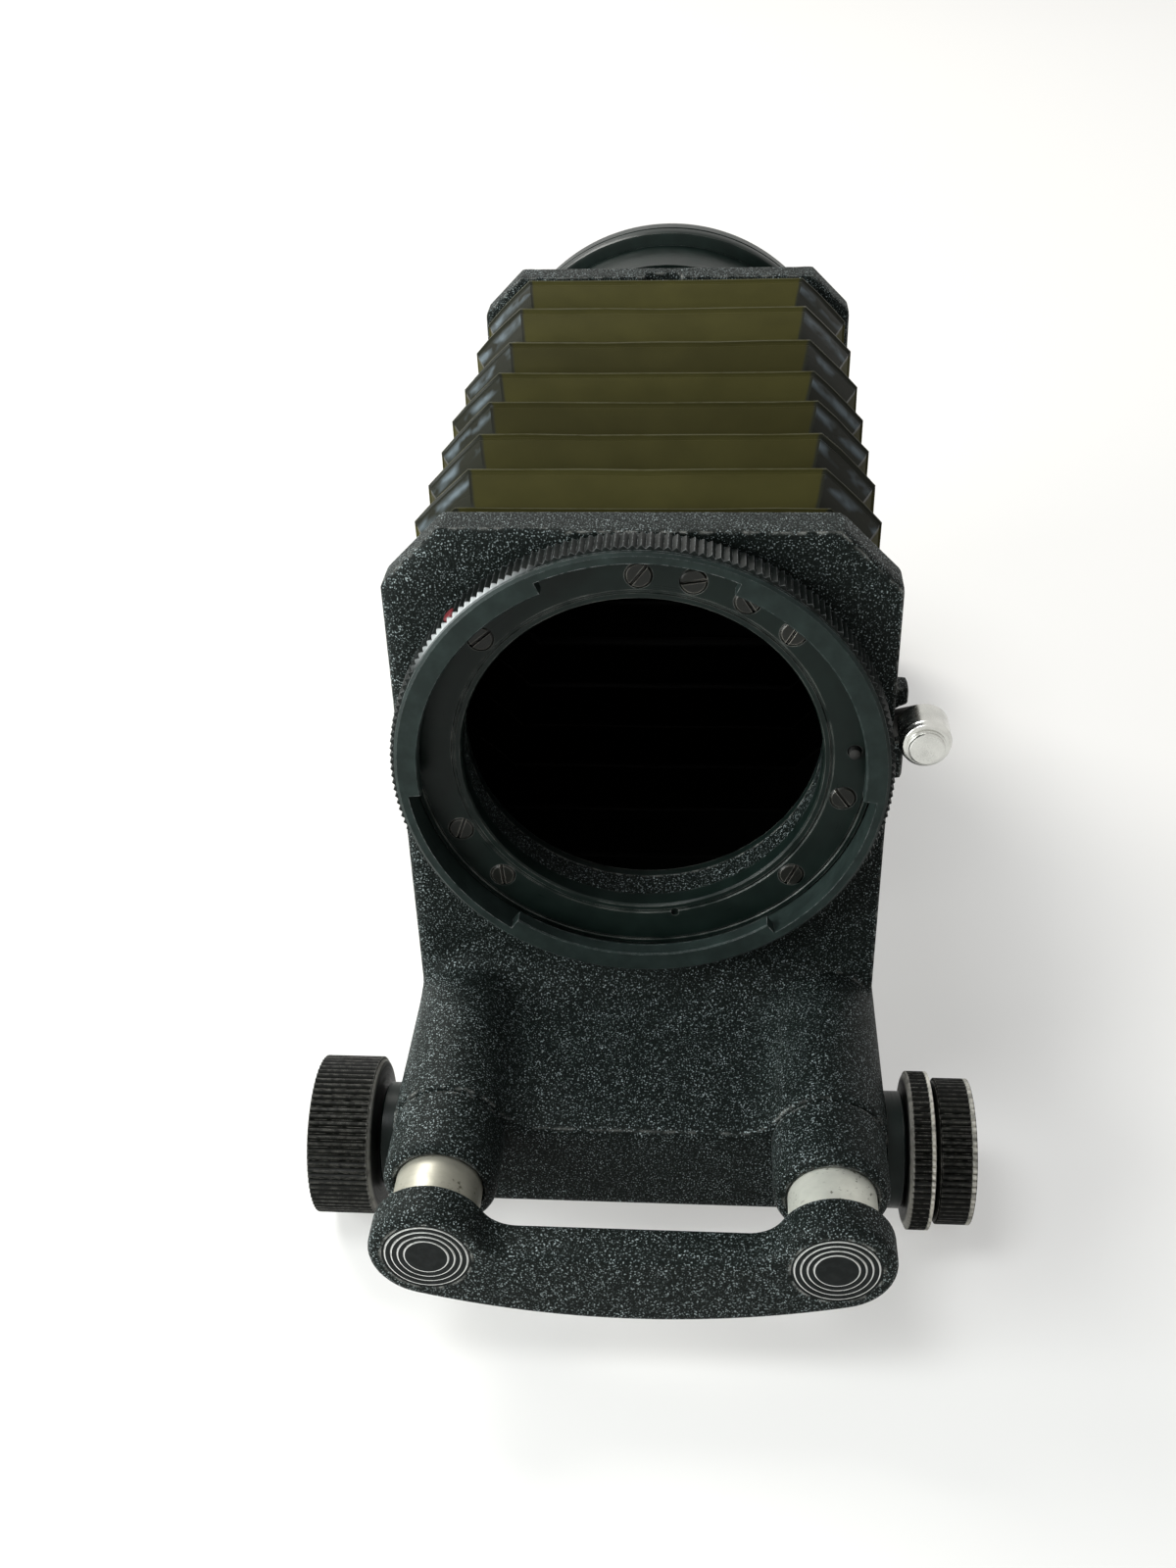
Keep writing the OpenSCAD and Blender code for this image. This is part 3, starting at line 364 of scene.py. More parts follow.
@dataclass(frozen=True)
class Anodised:
    """Black anodised alloy, turned about one axle so that it carries fine rings."""

    name: str
    axis: Axis
    centre: Place
    base: Colour = (0.0044, 0.0084, 0.0070)
    shine: float = 0.34
    worn: Colour = (0.30, 0.30, 0.28)
    wear: float = 0.55
    gloss: float = 0.13
    line_mm: float = 0.16
    slot: str = "black_anodised"

    def make(self) -> bpy.types.Material:
        """Lays out the turned lines, the worn edges and a few rubbed patches.

        Returns:
            The finish.
        """
        p = Paint(self.name)
        reach, angle = p.round_the(self.axis, self.centre)
        parts = p.split()
        along = parts[self.axis.value]
        rings = p.grain(self.line_mm, 1.0, place=p.joined(reach, p.sums("MULTIPLY", angle, 0.0002), along))
        patch = p.grain(3.2, 3.0, 0.55)
        edge = p.sums("MULTIPLY", p.worn_edges(0.2, 0.02, 0.16), p.span(patch, 0.34, 0.6), clamp=True)
        colour = p.blended(p.span(patch, 0.4, 0.8, 0.0, 0.35), self.base, tuple(2.6 * c for c in self.base))
        colour = p.blended(p.sums("MULTIPLY", edge, self.wear), colour, self.worn)
        rough = p.sums("ADD", p.span(rings, 0.2, 0.8, self.shine - 0.07, self.shine + 0.09),
                       p.span(patch, 0.3, 0.7, -0.03, 0.05))
        p.set(Base_Color=colour, Roughness=rough, Metallic=p.sums("MULTIPLY", edge, 0.5), Specular_IOR_Level=self.gloss,
              Normal=p.bumped(rings, 0.006, 0.5))
        return p.material


@dataclass(frozen=True)
class RidgedAnodised:
    """Black anodised alloy whose ridges and rims are rubbed down to the metal by fingers."""

    name: str
    axis: Axis
    centre: Place
    radius: float
    rims: tuple[tuple[float, float, float], ...] = ()
    rubbed_arc: tuple[float, float] = (0.0, 0.0)
    face: float = -4.2
    base: Colour = (0.0030, 0.0036, 0.0024)
    # Painted shade over the ridged band, standing for the shade in its grooves.
    groove: Colour = (0.0020, 0.0021, 0.0016)
    bare: Colour = (0.56, 0.54, 0.48)
    tip: float = 0.035
    shine: float = 0.4
    slot: str = "black_knurl"

    def make(self) -> bpy.types.Material:
        """Lays out turned lines, painted shade over the ridged band, rubbed ridge tips, bright rims and, on a ring, the
        arc that a thumb has polished.

        Returns:
            The finish.
        """
        p = Paint(self.name)
        reach, angle = p.round_the(self.axis, self.centre)
        along = p.split()[self.axis.value]
        rings = p.grain(0.15, 1.0, place=p.joined(reach, p.sums("MULTIPLY", angle, 0.0002), along))
        patch = p.grain(2.6, 3.0, 0.6)
        broken = p.span(p.grain(0.7, 3.0, 0.6), 0.40, 0.60)
        tips = p.span(reach, (self.radius - 0.16) * MM, (self.radius - 0.02) * MM)
        wear: object = p.sums("MULTIPLY", p.sums("MULTIPLY", tips, broken), self.tip)
        for place, width, strength in self.rims:
            off = p.sums("ABSOLUTE", p.sums("SUBTRACT", along, place * MM))
            rim = p.sums("MULTIPLY", p.span(off, width * 0.6 * MM, width * MM, strength, 0.0),
                         p.span(reach, (self.radius - 1.1) * MM, (self.radius - 0.75) * MM))
            wear = p.sums("MAXIMUM", wear, p.sums("MULTIPLY", rim, p.span(p.grain(1.1, 3.0), 0.3, 0.5, 0.5, 1.0)))
        low, high = (math.radians(a) for a in self.rubbed_arc)
        if high > low:
            thumb = p.sums("MULTIPLY", p.span(angle, low, low + 0.25), p.span(angle, high - 0.2, high, 1.0, 0.0))
            face = p.sums("MULTIPLY", p.span(reach, (self.radius - 0.6) * MM, (self.radius - 0.45) * MM),
                          p.span(along, (self.face + 0.15) * MM, (self.face + 0.3) * MM, 1.0, 0.0))
            wear = p.sums("MAXIMUM", wear, p.sums("MULTIPLY", p.sums("MULTIPLY", thumb, face), 0.9))
        edge = p.sums("MULTIPLY", p.worn_edges(0.18, 0.03, 0.22), broken, clamp=True)
        wear = p.sums("MAXIMUM", wear, p.sums("MULTIPLY", edge, 0.4), clamp=True)
        colour = p.blended(p.span(patch, 0.4, 0.8, 0.0, 0.4), self.base, tuple(3.0 * c for c in self.base))
        # Painted shade: the whole ridged band is darkened, ridges and grooves alike, for the shade in its grooves.
        colour = p.blended(p.span(reach, (self.radius - 0.6) * MM, (self.radius - 0.45) * MM, 0.0, 0.75), colour,
                           self.groove)
        colour = p.blended(wear, colour, self.bare)
        rough = p.sums("ADD", p.span(rings, 0.2, 0.8, self.shine - 0.06, self.shine + 0.1),
                       p.span(patch, 0.3, 0.7, -0.02, 0.06))
        p.set(Base_Color=colour, Roughness=rough, Metallic=p.sums("MULTIPLY", wear, 0.5), Specular_IOR_Level=0.10,
              Normal=p.bumped(rings, 0.006, 0.5))
        return p.material


@dataclass(frozen=True)
class BareMetal:
    """Metal that shows as metal: chrome, steel or brass, turned or drawn about one axle."""

    name: str
    axis: Axis
    centre: Place
    base: Colour
    shine: float
    slot: str
    line_mm: float = 0.12
    depth_mm: float = 0.003
    dirt: float = 0.0
    metal: float = 1.0

    def make(self) -> bpy.types.Material:
        """Lays out fine lines, smudges and, where it is dirty, dark specks.

        Returns:
            The finish.
        """
        p = Paint(self.name)
        reach, angle = p.round_the(self.axis, self.centre)
        along = p.split()[self.axis.value]
        lines = p.grain(self.line_mm, 2.0, place=p.joined(reach, p.sums("MULTIPLY", angle, 0.0004), along))
        smudge = p.grain(2.4, 4.0, 0.6)
        dark = tuple(c * 0.62 for c in self.base)
        colour = p.blended(p.span(smudge, 0.38, 0.74, 0.0, 0.45), self.base, dark)
        if self.dirt > 0:
            specks = p.sums("MULTIPLY", p.span(p.grain(0.5, 2.0), 0.6, 0.68), p.span(p.grain(3.0, 1.0), 0.5, 0.6))
            colour = p.blended(p.sums("MULTIPLY", specks, self.dirt), colour, (0.04, 0.035, 0.015))
        rough = p.sums("ADD", p.span(lines, 0.2, 0.8, self.shine * 0.8, self.shine * 1.25),
                       p.span(smudge, 0.35, 0.75, 0.0, 0.08))
        p.set(Base_Color=colour, Metallic=self.metal, Roughness=rough, Normal=p.bumped(lines, self.depth_mm, 0.6))
        return p.material


@dataclass(frozen=True)
class RingedCap:
    """A black disc with fine bright rings cut into its face, one on each side of the bar."""

    name: str
    half_width: float
    height: float
    base: Colour = (0.0045, 0.0062, 0.0058)
    dusty: Colour = (0.02, 0.022, 0.022)
    line: Colour = (0.66, 0.66, 0.64)
    rings: tuple[float, ...] = (2.45, 3.167, 3.883, 4.6)
    slot: str = "engraved_black"

    def make(self) -> bpy.types.Material:
        """Lays out the rings by their distance from the disc's own middle.

        Returns:
            The finish.
        """
        p = Paint(self.name)
        parts = p.split()
        across = p.sums("SUBTRACT", p.sums("ABSOLUTE", parts[0]), self.half_width * MM)
        up = p.sums("SUBTRACT", parts[2], self.height * MM)
        reach = p.reach(across, up)
        patch = p.grain(0.8, 3.0)
        lines: object = 0.0
        for ring in self.rings:
            off = p.sums("ABSOLUTE", p.sums("SUBTRACT", reach, ring * MM))
            lines = p.sums("MAXIMUM", lines, p.span(off, 0.07 * MM, 0.115 * MM, 1.0, 0.0))
        lines = p.sums("MULTIPLY", lines, p.span(patch, 0.25, 0.5, 0.75, 1.0))
        colour = p.blended(p.span(patch, 0.4, 0.7, 0.0, 0.4), self.base, self.dusty)
        colour = p.blended(lines, colour, self.line)
        p.set(Base_Color=colour, Metallic=p.sums("MULTIPLY", lines, 0.4), Roughness=p.span(patch, 0.3, 0.7, 0.4, 0.5),
              Specular_IOR_Level=0.08, Normal=p.bumped(p.sums("SUBTRACT", 1.0, lines), 0.02, 0.5))
        return p.material


@dataclass(frozen=True)
class BellowsCloth:
    """Thin coated cloth with an olive-black satin skin, paler where light has aged it; its folds carry painted light
    and shade.
    """

    name: str = "bellows_cloth"
    base: Colour = (0.036, 0.0330, 0.0096)
    # Crest lines: partly worn cloth, partly a painted highlight.
    crest: Colour = (0.080, 0.078, 0.048)
    # Painted shade on the corner folds.
    corner: Colour = (0.0100, 0.0108, 0.0075)
    # Painted glints along the corner folds.
    streak: Colour = (0.11, 0.135, 0.15)
    # Painted shade on some bands, standing for their tilt to the light.
    shade: Colour = (0.006, 0.0052, 0.002)
    # Painted shade in the valleys.
    dirt: Colour = (0.003, 0.003, 0.002)
    slot: str = "bellows_cloth"

    def make(self) -> bpy.types.Material:
        """Lays out the skin's grain, pale crest lines, painted shade and glints, and glossy corner folds.

        Returns:
            The finish.
        """
        p = Paint(self.name)
        flat = p.add("ShaderNodeUVMap", uv_map="cloth").outputs[0]
        fold, tone, corner = (p.add("ShaderNodeAttribute", attribute_name=name).outputs["Fac"] for name in CLOTH_MARKS)
        skin = p.grain(0.35, 3.0, 0.6, place=flat)
        pores = p.cells(0.3, 0.6, place=flat)
        patch = p.grain(7.0, 3.0, 0.5, place=flat)
        height = p.sums("ADD", p.sums("MULTIPLY", skin, 0.5), p.sums("MULTIPLY", pores, 0.4))
        colour = p.blended(p.span(patch, 0.35, 0.7, 0.0, 0.35), self.base, tuple(1.7 * c for c in self.base))
        # Painted shade: some bands are darker, for their tilt.
        colour = p.blended(p.span(tone, 0.0, 1.0, 0.75, 0.0), colour, self.shade)
        glossy = p.span(corner, 0.1, 0.6)
        # Painted shade on the corner folds.
        colour = p.blended(p.sums("MULTIPLY", glossy, 0.95), colour, self.corner)
        # Painted glints: pale bluish streaks along the bends of the corner folds.
        bent = p.sums("MULTIPLY", p.span(fold, 0.55, 0.68), p.span(fold, 0.74, 0.86, 1.0, 0.0))
        shine = p.sums("MULTIPLY", p.sums("MULTIPLY", bent, p.span(corner, 0.9, 1.0)),
                       p.span(p.grain(3.0, 2.0, place=flat), 0.42, 0.6))
        colour = p.blended(p.sums("MULTIPLY", shine, 0.8), colour, self.streak)
        # Painted shade: the valleys are darkened.
        deep = p.span(fold, 0.0, 0.1, 0.85, 0.0)
        colour = p.blended(deep, colour, self.dirt)
        # The crest lines: partly worn cloth and partly a painted highlight.
        broken = p.span(p.grain(1.6, 3.0, place=flat), 0.32, 0.52, 0.3, 1.0)
        ridge = p.sums("MULTIPLY", p.span(fold, 0.965, 0.995), broken)
        colour = p.blended(p.sums("MULTIPLY", ridge, 0.5), colour, self.crest)
        rough = p.sums("SUBTRACT", p.span(patch, 0.3, 0.7, 0.44, 0.54), p.sums("MULTIPLY", glossy, 0.2))
        p.set(Base_Color=colour, Roughness=rough, Specular_IOR_Level=p.span(glossy, 0.0, 1.0, 0.02, 0.07),
              Normal=p.bumped(height, 0.02, 0.5))
        return p.material


@dataclass(frozen=True)
class Lining:
    """The dull black inside of the bellows."""

    name: str = "bellows_lining"
    base: Colour = (0.0006, 0.0006, 0.0006)
    nap: Colour = (0.0012, 0.0012, 0.001)

    def make(self) -> bpy.types.Material:
        """Lays out the nap.

        Returns:
            The finish.
        """
        p = Paint(self.name)
        nap = p.grain(0.4, 3.0)
        p.set(Base_Color=p.blended(nap, self.base, self.nap), Roughness=p.span(nap, 0.3, 0.7, 0.8, 0.95),
              Specular_IOR_Level=0.02, Normal=p.bumped(nap, 0.03, 0.6))
        return p.material


@dataclass(frozen=True)
class RedEnamel:
    """Dark red paint in a small dimple, the index mark."""

    name: str = "index_red"
    base: Colour = (0.11, 0.006, 0.010)
    dusty: Colour = (0.05, 0.012, 0.012)
    slot: str = "red_enamel"

    def make(self) -> bpy.types.Material:
        """Lays out the paint with its slightly uneven, dusty top.

        Returns:
            The finish.
        """
        p = Paint(self.name)
        dust = p.grain(0.3, 3.0)
        colour = p.blended(p.span(dust, 0.45, 0.75, 0.0, 0.5), self.base, self.dusty)
        p.set(Base_Color=colour, Roughness=p.span(dust, 0.3, 0.7, 0.3, 0.5), Normal=p.bumped(dust, 0.01, 0.5))
        return p.material


@dataclass(frozen=True)
class FloorCloth:
    """The plain pale floor: white to the camera and to bright metal, and a plain pale grey to everything else."""

    name: str = "pale_floor"
    base: Colour = (0.80, 0.79, 0.765)
    glow: Colour = (1.0, 0.99, 0.965)
    lift: float = 0.45

    def make(self) -> bpy.types.Material:
        """Lays out the floor.

        Returns:
            The finish.
        """
        p = Paint(self.name)
        p.set(Base_Color=self.base, Roughness=0.9, Specular_IOR_Level=0.1)
        rays = p.add("ShaderNodeLightPath").outputs
        seen = p.sums("MAXIMUM", rays["Is Camera Ray"], p.sums("MAXIMUM", rays["Is Glossy Ray"],
                                                                rays["Is Transmission Ray"]))
        glow = p.add("ShaderNodeEmission")
        glow.inputs["Color"].default_value = (*self.glow, 1.0)
        mix = p.add("ShaderNodeMixShader")
        p.feed(mix.inputs[0], p.sums("MULTIPLY", seen, self.lift))
        p.feed(mix.inputs[1], p.shader.outputs[0])
        p.feed(mix.inputs[2], glow.outputs[0])
        p.feed(p.tree.nodes["Material Output"].inputs["Surface"], mix.outputs[0])
        return p.material


# ---------------------------------------------------------------------------------------------------------------------
# Studio
# ---------------------------------------------------------------------------------------------------------------------


@dataclass
class Studio:
    """Camera, floor and lights.

    Angles are in degrees and sizes in metres. Each lamp has its name, its place, what it points at, the width of its
    panel, its power in watts and its colour. The air's light fades from low to high, and lean draws its bright side
    to the back.
    """

    eye: Place = (0.0082, -0.16289, 0.10401)
    yaw: float = -5.12
    pitch: float = -33.45
    roll: float = -2.07
    focal_px: float = 1692.84
    image_px: tuple[int, int] = (1200, 1600)
    sensor_mm: float = 24.0
    floor_z: float = -0.0565
    floor_size: float = 6.0
    lean: float = 0.55
    low_air: Colour = (0.05, 0.053, 0.055)
    high_air: Colour = (0.36, 0.375, 0.39)
    white: Colour = (1.0, 0.99, 0.965)
    lamps: tuple[tuple[str, Place, Place, float, float, Colour], ...] = (
        ("window", (-0.75, 0.95, 1.05), (0, 0.05, 0), 0.8, 24, (1.0, 0.985, 0.95)),
        ("ceiling", (-0.45, -0.25, 1.25), (0, 0, 0), 0.55, 8, (0.95, 0.975, 1.0)),
        ("side_lamp", (-0.30, -0.16, 0.10), (0, 0, 0), 0.25, 1.9, (0.95, 1.0, 1.0)))

    def camera(self) -> None:
        """Sets the camera where the photograph was taken from."""
        data = bpy.data.cameras.new("camera")
        data.sensor_fit = "VERTICAL"
        data.sensor_height = self.sensor_mm
        data.lens = self.focal_px / self.image_px[1] * self.sensor_mm
        data.clip_start, data.clip_end = 0.005, 50
        yaw, pitch, roll = (math.radians(a) for a in (self.yaw, self.pitch, self.roll))
        forward = Vector((math.sin(yaw) * math.cos(pitch), math.cos(yaw) * math.cos(pitch), math.sin(pitch)))
        level = Vector((math.cos(yaw), -math.sin(yaw), 0))
        upright = level.cross(forward)
        right = math.cos(roll) * level + math.sin(roll) * upright
        up = math.cos(roll) * upright - math.sin(roll) * level
        matrix = Matrix((right, up, -forward)).transposed().to_4x4()
        matrix.translation = Vector(self.eye)
        camera = bpy.data.objects.new("camera", data)
        bpy.context.collection.objects.link(camera)
        camera.matrix_world = matrix
        bpy.context.scene.camera = camera

    def floor(self) -> None:
        """Lays the floor."""
        deselect()
        bpy.ops.mesh.primitive_plane_add(size=self.floor_size, location=(0, 0.05, self.floor_z))
        plane = bpy.context.object
        plane.name = "studio_floor"
        plane.data.materials.append(FloorCloth().make())

    def lamp(self, name: str, place: Place, aim: Place, size: float, power: float, colour: Colour) -> None:
        """Hangs one soft lamp.

        Args:
            name: Its name.
            place: Where it hangs.
            aim: What it points at.
            size: The width of its panel.
            power: Its power in watts.
            colour: Its colour.
        """
        data = bpy.data.lights.new(name, "AREA")
        data.shape, data.size, data.energy, data.color = "DISK", size, power, colour
        lamp = bpy.data.objects.new(name, data)
        bpy.context.collection.objects.link(lamp)
        lamp.location = place
        lamp.rotation_euler = (Vector(aim) - Vector(place)).to_track_quat("-Z", "Y").to_euler()

    def light(self) -> None:
        """Sets the world's level and hangs the lamps."""
        scene = bpy.context.scene
        scene.view_settings.view_transform = "Standard"
        world = bpy.data.worlds.new("studio_air")
        world.use_nodes = True
        scene.world = world
        nodes, links = world.node_tree.nodes, world.node_tree.links
        air = nodes["Background"]
        air.inputs["Strength"].default_value = 1.0
        place = nodes.new("ShaderNodeTexCoord")
        split = nodes.new("ShaderNodeSeparateXYZ")
        links.new(place.outputs["Generated"], split.inputs[0])
        rise = nodes.new("ShaderNodeMath")
        rise.operation = "MULTIPLY_ADD"
        rise.inputs[1].default_value = self.lean
        links.new(split.outputs["Y"], rise.inputs[0])
        links.new(split.outputs["Z"], rise.inputs[2])
        fade = nodes.new("ShaderNodeValToRGB")
        fade.color_ramp.elements[0].color = (*self.low_air, 1)
        fade.color_ramp.elements[1].color = (*self.high_air, 1)
        fade.color_ramp.elements[0].position = 0.0
        fade.color_ramp.elements[1].position = 0.95
        links.new(rise.outputs[0], fade.inputs[0])
        links.new(fade.outputs[0], air.inputs["Color"])
        clear = nodes.new("ShaderNodeBackground")
        clear.inputs["Color"].default_value = (*self.white, 1)
        clear.inputs["Strength"].default_value = 1.0
        path = nodes.new("ShaderNodeLightPath").outputs
        pick = nodes.new("ShaderNodeMixShader")
        seen = path["Is Camera Ray"]
        for kind in ("Is Glossy Ray", "Is Transmission Ray"):
            either = nodes.new("ShaderNodeMath")
            either.operation = "MAXIMUM"
            links.new(seen, either.inputs[0])
            links.new(path[kind], either.inputs[1])
            seen = either.outputs[0]
        links.new(seen, pick.inputs[0])
        links.new(air.outputs[0], pick.inputs[1])
        links.new(clear.outputs[0], pick.inputs[2])
        links.new(pick.outputs[0], nodes["World Output"].inputs["Surface"])
        for lamp in self.lamps:
            self.lamp(*lamp)

    def build(self) -> None:
        """Makes the studio."""
        self.camera()
        self.floor()
        self.light()
        LOG.info("studio: camera, floor, lamps")


# ---------------------------------------------------------------------------------------------------------------------
# Bench work
# ---------------------------------------------------------------------------------------------------------------------


def at(place: Sequence[float]) -> Vector:
    """Turns a place in millimetres into one in metres."""
    return Vector(place) * MM


def arc(centre: Point, radius: float, start: float, end: float, steps: int) -> list[Point]:
    """Walks along an arc.

    Args:
        centre: Its middle.
        radius: Its radius.
        start: Its first angle in degrees.
        end: Its last angle in degrees.
        steps: The number of stretches.

    Returns:
        The points, both ends included.
    """
    turns = [math.radians(start + (end - start) * i / steps) for i in range(steps + 1)]
    return [(centre[0] + radius * math.cos(t), centre[1] + radius * math.sin(t)) for t in turns]


def deselect() -> None:
    """Leaves edit mode and lets go of everything."""
    if bpy.context.object is not None and bpy.context.object.mode != "OBJECT":
        bpy.ops.object.mode_set(mode="OBJECT")
    bpy.ops.object.select_all(action="DESELECT")


class Blank:
    """A workpiece: started from one primitive, worked in edit mode and finished with modifiers that are applied."""

    def __init__(self, name: str) -> None:
        """Takes the object that was just made.

        Args:
            name: The piece's name.
        """
        self.object = bpy.context.object
        self.object.name = self.object.data.name = name

    @classmethod
    def traced(cls, name: str, outline: Sequence[Place]) -> "Blank":
        """Draws an open line of points, each pulled out of the one before.

        Args:
            name: The piece's name.
            outline: The points in millimetres.

        Returns:
            The line, in edit mode and all selected.
        """
        deselect()
        bpy.ops.mesh.primitive_plane_add(size=MM, location=at(outline[0]))
        blank = cls(name)
        bpy.ops.object.mode_set(mode="EDIT")
        bpy.ops.mesh.select_mode(type="VERT")
        bpy.ops.mesh.merge(type="CENTER")
        for here, there in zip(outline, outline[1:]):
            bpy.ops.mesh.extrude_vertices_move(TRANSFORM_OT_translate={"value": at(there) - at(here)})
        bpy.ops.mesh.select_all(action="SELECT")
        return blank

    @classmethod
    def plate(cls, name: str, outline: Sequence[Point], start: float, end: float, axis: Axis = Axis.Y) -> "Blank":
        """Draws a closed outline and pushes it into a solid.

        Args:
            name: The piece's name.
            outline: The points across the axis, in millimetres.
            start: Where the solid starts along the axis.
            end: Where it ends.
            axis: The way it is pushed.

        Returns:
            The solid, in edit mode.
        """
        blank = cls.traced(name, [spread(axis, start, p) for p in outline])
        bpy.ops.mesh.edge_face_add()
        bpy.ops.mesh.extrude_region_move(
            TRANSFORM_OT_translate={"value": at(spread(axis, end, (0, 0))) - at(spread(axis, start, (0, 0)))})
        return blank.closed()

    @classmethod
    def lofted(cls, name: str, loops: Sequence[Sequence[Place]], closed: bool = True) -> "Blank":
        """Draws a closed loop and pulls its rim from section to section.

        Args:
            name: The piece's name.
            loops: The sections, each with the same number of points, in millimetres.
            closed: Whether both ends get a face.

        Returns:
            The skin, in edit mode.
        """
        blank = cls.traced(name, loops[0])
        bpy.ops.mesh.edge_face_add()
        if not closed:
            bpy.ops.mesh.delete(type="ONLY_FACE")
            bpy.ops.mesh.select_all(action="SELECT")
        world = blank.object.matrix_world.copy()
        for here, there in zip(loops, loops[1:]):
            bpy.ops.mesh.extrude_region_move(TRANSFORM_OT_translate={"value": (0, 0, 0)})
            mesh = bmesh.from_edit_mesh(blank.object.data)
            for vertex in [v for v in mesh.verts if v.select]:
                spot = world @ vertex.co
                number = min(range(len(here)), key=lambda i: (at(here[i]) - spot).length_squared)
                vertex.co = world.inverted() @ at(there[number])
            bmesh.update_edit_mesh(blank.object.data)
        bpy.ops.mesh.select_all(action="SELECT")
        bpy.ops.mesh.normals_make_consistent(inside=False)
        return blank

    @classmethod
    def drum(cls, name: str, axis: Axis, radius: float, start: float, end: float, centre: Point = (0, 0),
             sides: int = 64) -> "Blank":
        """Puts down a round bar.

        Args:
            name: The piece's name.
            axis: The way it points.
            radius: Its radius in millimetres.
            start: Where it starts along the axis.
            end: Where it ends.
            centre: Its middle across the axis.
            sides: The number of its sides.

        Returns:
            The bar.
        """
        deselect()
        turn = {Axis.X: (0, math.pi / 2, 0), Axis.Y: (math.pi / 2, 0, 0), Axis.Z: (0, 0, 0)}[axis]
        bpy.ops.mesh.primitive_cylinder_add(vertices=sides, radius=radius * MM, depth=abs(end - start) * MM,
                                            location=at(spread(axis, (start + end) / 2, centre)), rotation=turn)
        return cls(name)

    @classmethod
    def block(cls, name: str, low: Place, high: Place) -> "Blank":
        """Puts down a block between two corners.

        Args:
            name: The piece's name.
            low: Its lowest corner, in millimetres.
            high: Its highest corner.

        Returns:
            The block.
        """
        deselect()
        size = at(high) - at(low)
        bpy.ops.mesh.primitive_cube_add(size=1, location=(at(low) + at(high)) / 2, scale=size)
        return cls(name)

    @classmethod
    def turned(cls, name: str, axis: Axis, centre: Point, profile: Sequence[Point], steps: int = 96) -> "Blank":
        """Turns a profile into a closed round piece.

        Args:
            name: The piece's name.
            axis: The axle's way.
            centre: The axle's place across the axis.
            profile: Points of radius and place along the axis, which close on themselves or end on the axle.
            steps: The number of steps round.

        Returns:
            The round piece, in edit mode.
        """
        blank = cls.traced(name, [spread(axis, along, (centre[0] + reach, centre[1])) for reach, along in profile])
        if profile[0][0] > 0:
            bpy.ops.mesh.edge_face_add()
            bpy.ops.mesh.delete(type="ONLY_FACE")
            bpy.ops.mesh.select_all(action="SELECT")
        blank.spin(axis, centre, steps)
        return blank.closed()

    def spin(self, axis: Axis, centre: Point, steps: int, turn: float = math.tau, copies: bool = False) -> None:
        """Spins all of it about an axle.

        Args:
            axis: The axle's way.
            centre: The axle's place across the axis, in millimetres.
            steps: The number of steps.
            turn: The whole turn in radians.
            copies: Whether the steps are loose copies and not one skin.
        """
        bpy.ops.mesh.select_all(action="SELECT")
        bpy.ops.mesh.spin(steps=steps, angle=turn, center=at(spread(axis, 0, centre)),
                          axis=spread(axis, 1, (0, 0)), dupli=copies)

    def closed(self) -> "Blank":
        """Merges what lies together and turns every face outwards.

        Returns:
            The piece itself.
        """
        bpy.ops.mesh.select_all(action="SELECT")
        bpy.ops.mesh.remove_doubles(threshold=0.002 * MM)
        bpy.ops.mesh.normals_make_consistent(inside=False)
        return self

    def edit(self) -> "Blank":
        """Takes it alone into edit mode.

        Returns:
            The piece itself.
        """
        deselect()
        bpy.context.view_layer.objects.active = self.object
        self.object.select_set(True)
        bpy.ops.object.mode_set(mode="EDIT")
        return self

    def rest(self) -> "Blank":
        """Takes it out of edit mode, alone in hand.

        Returns:
            The piece itself.
        """
        deselect()
        bpy.context.view_layer.objects.active = self.object
        self.object.select_set(True)
        return self

    def pick(self, test: Callable[[Vector], bool], kind: str = "VERT") -> "Blank":
        """Selects by place, in edit mode.

        Args:
            test: Says of a place in millimetres whether it is taken.
            kind: VERT, EDGE or FACE, the last two by their middles.

        Returns:
            The piece itself.
        """
        bpy.ops.mesh.select_mode(type=kind)
        bpy.ops.mesh.select_all(action="DESELECT")
        mesh = bmesh.from_edit_mesh(self.object.data)
        world = self.object.matrix_world
        for item in {"VERT": mesh.verts, "EDGE": mesh.edges, "FACE": mesh.faces}[kind]:
            middle = item.co if kind == "VERT" else sum((v.co for v in item.verts), Vector()) / len(item.verts)
            item.select_set(test(world @ middle / MM))
        mesh.select_flush_mode()
        bmesh.update_edit_mesh(self.object.data)
        return self

    def modify(self, kind: str, **settings: object) -> "Blank":
        """Adds a modifier, sets it and applies it.

        Args:
            kind: The modifier's type.
            settings: Values for its properties.

        Returns:
            The piece itself.
        """
        self.rest()
        bpy.ops.object.modifier_add(type=kind)
        modifier = self.object.modifiers[-1]
        for key, value in settings.items():
            setattr(modifier, key, value)
        bpy.ops.object.modifier_apply(modifier=modifier.name)
        return self

    def joined(self, other: "Blank", operation: str = "UNION") -> "Blank":
        """Welds another piece on, or cuts with it, and clears it away.

        Args:
            other: The other piece.
            operation: UNION or DIFFERENCE.

        Returns:
            The piece itself.
        """
        other.rest()
        self.modify("BOOLEAN", object=other.object, operation=operation, solver="EXACT")
        bpy.data.objects.remove(other.object)
        return self

    def cut(self, other: "Blank") -> "Blank":
        """Cuts another piece's shape out of this one."""
        return self.joined(other, "DIFFERENCE")

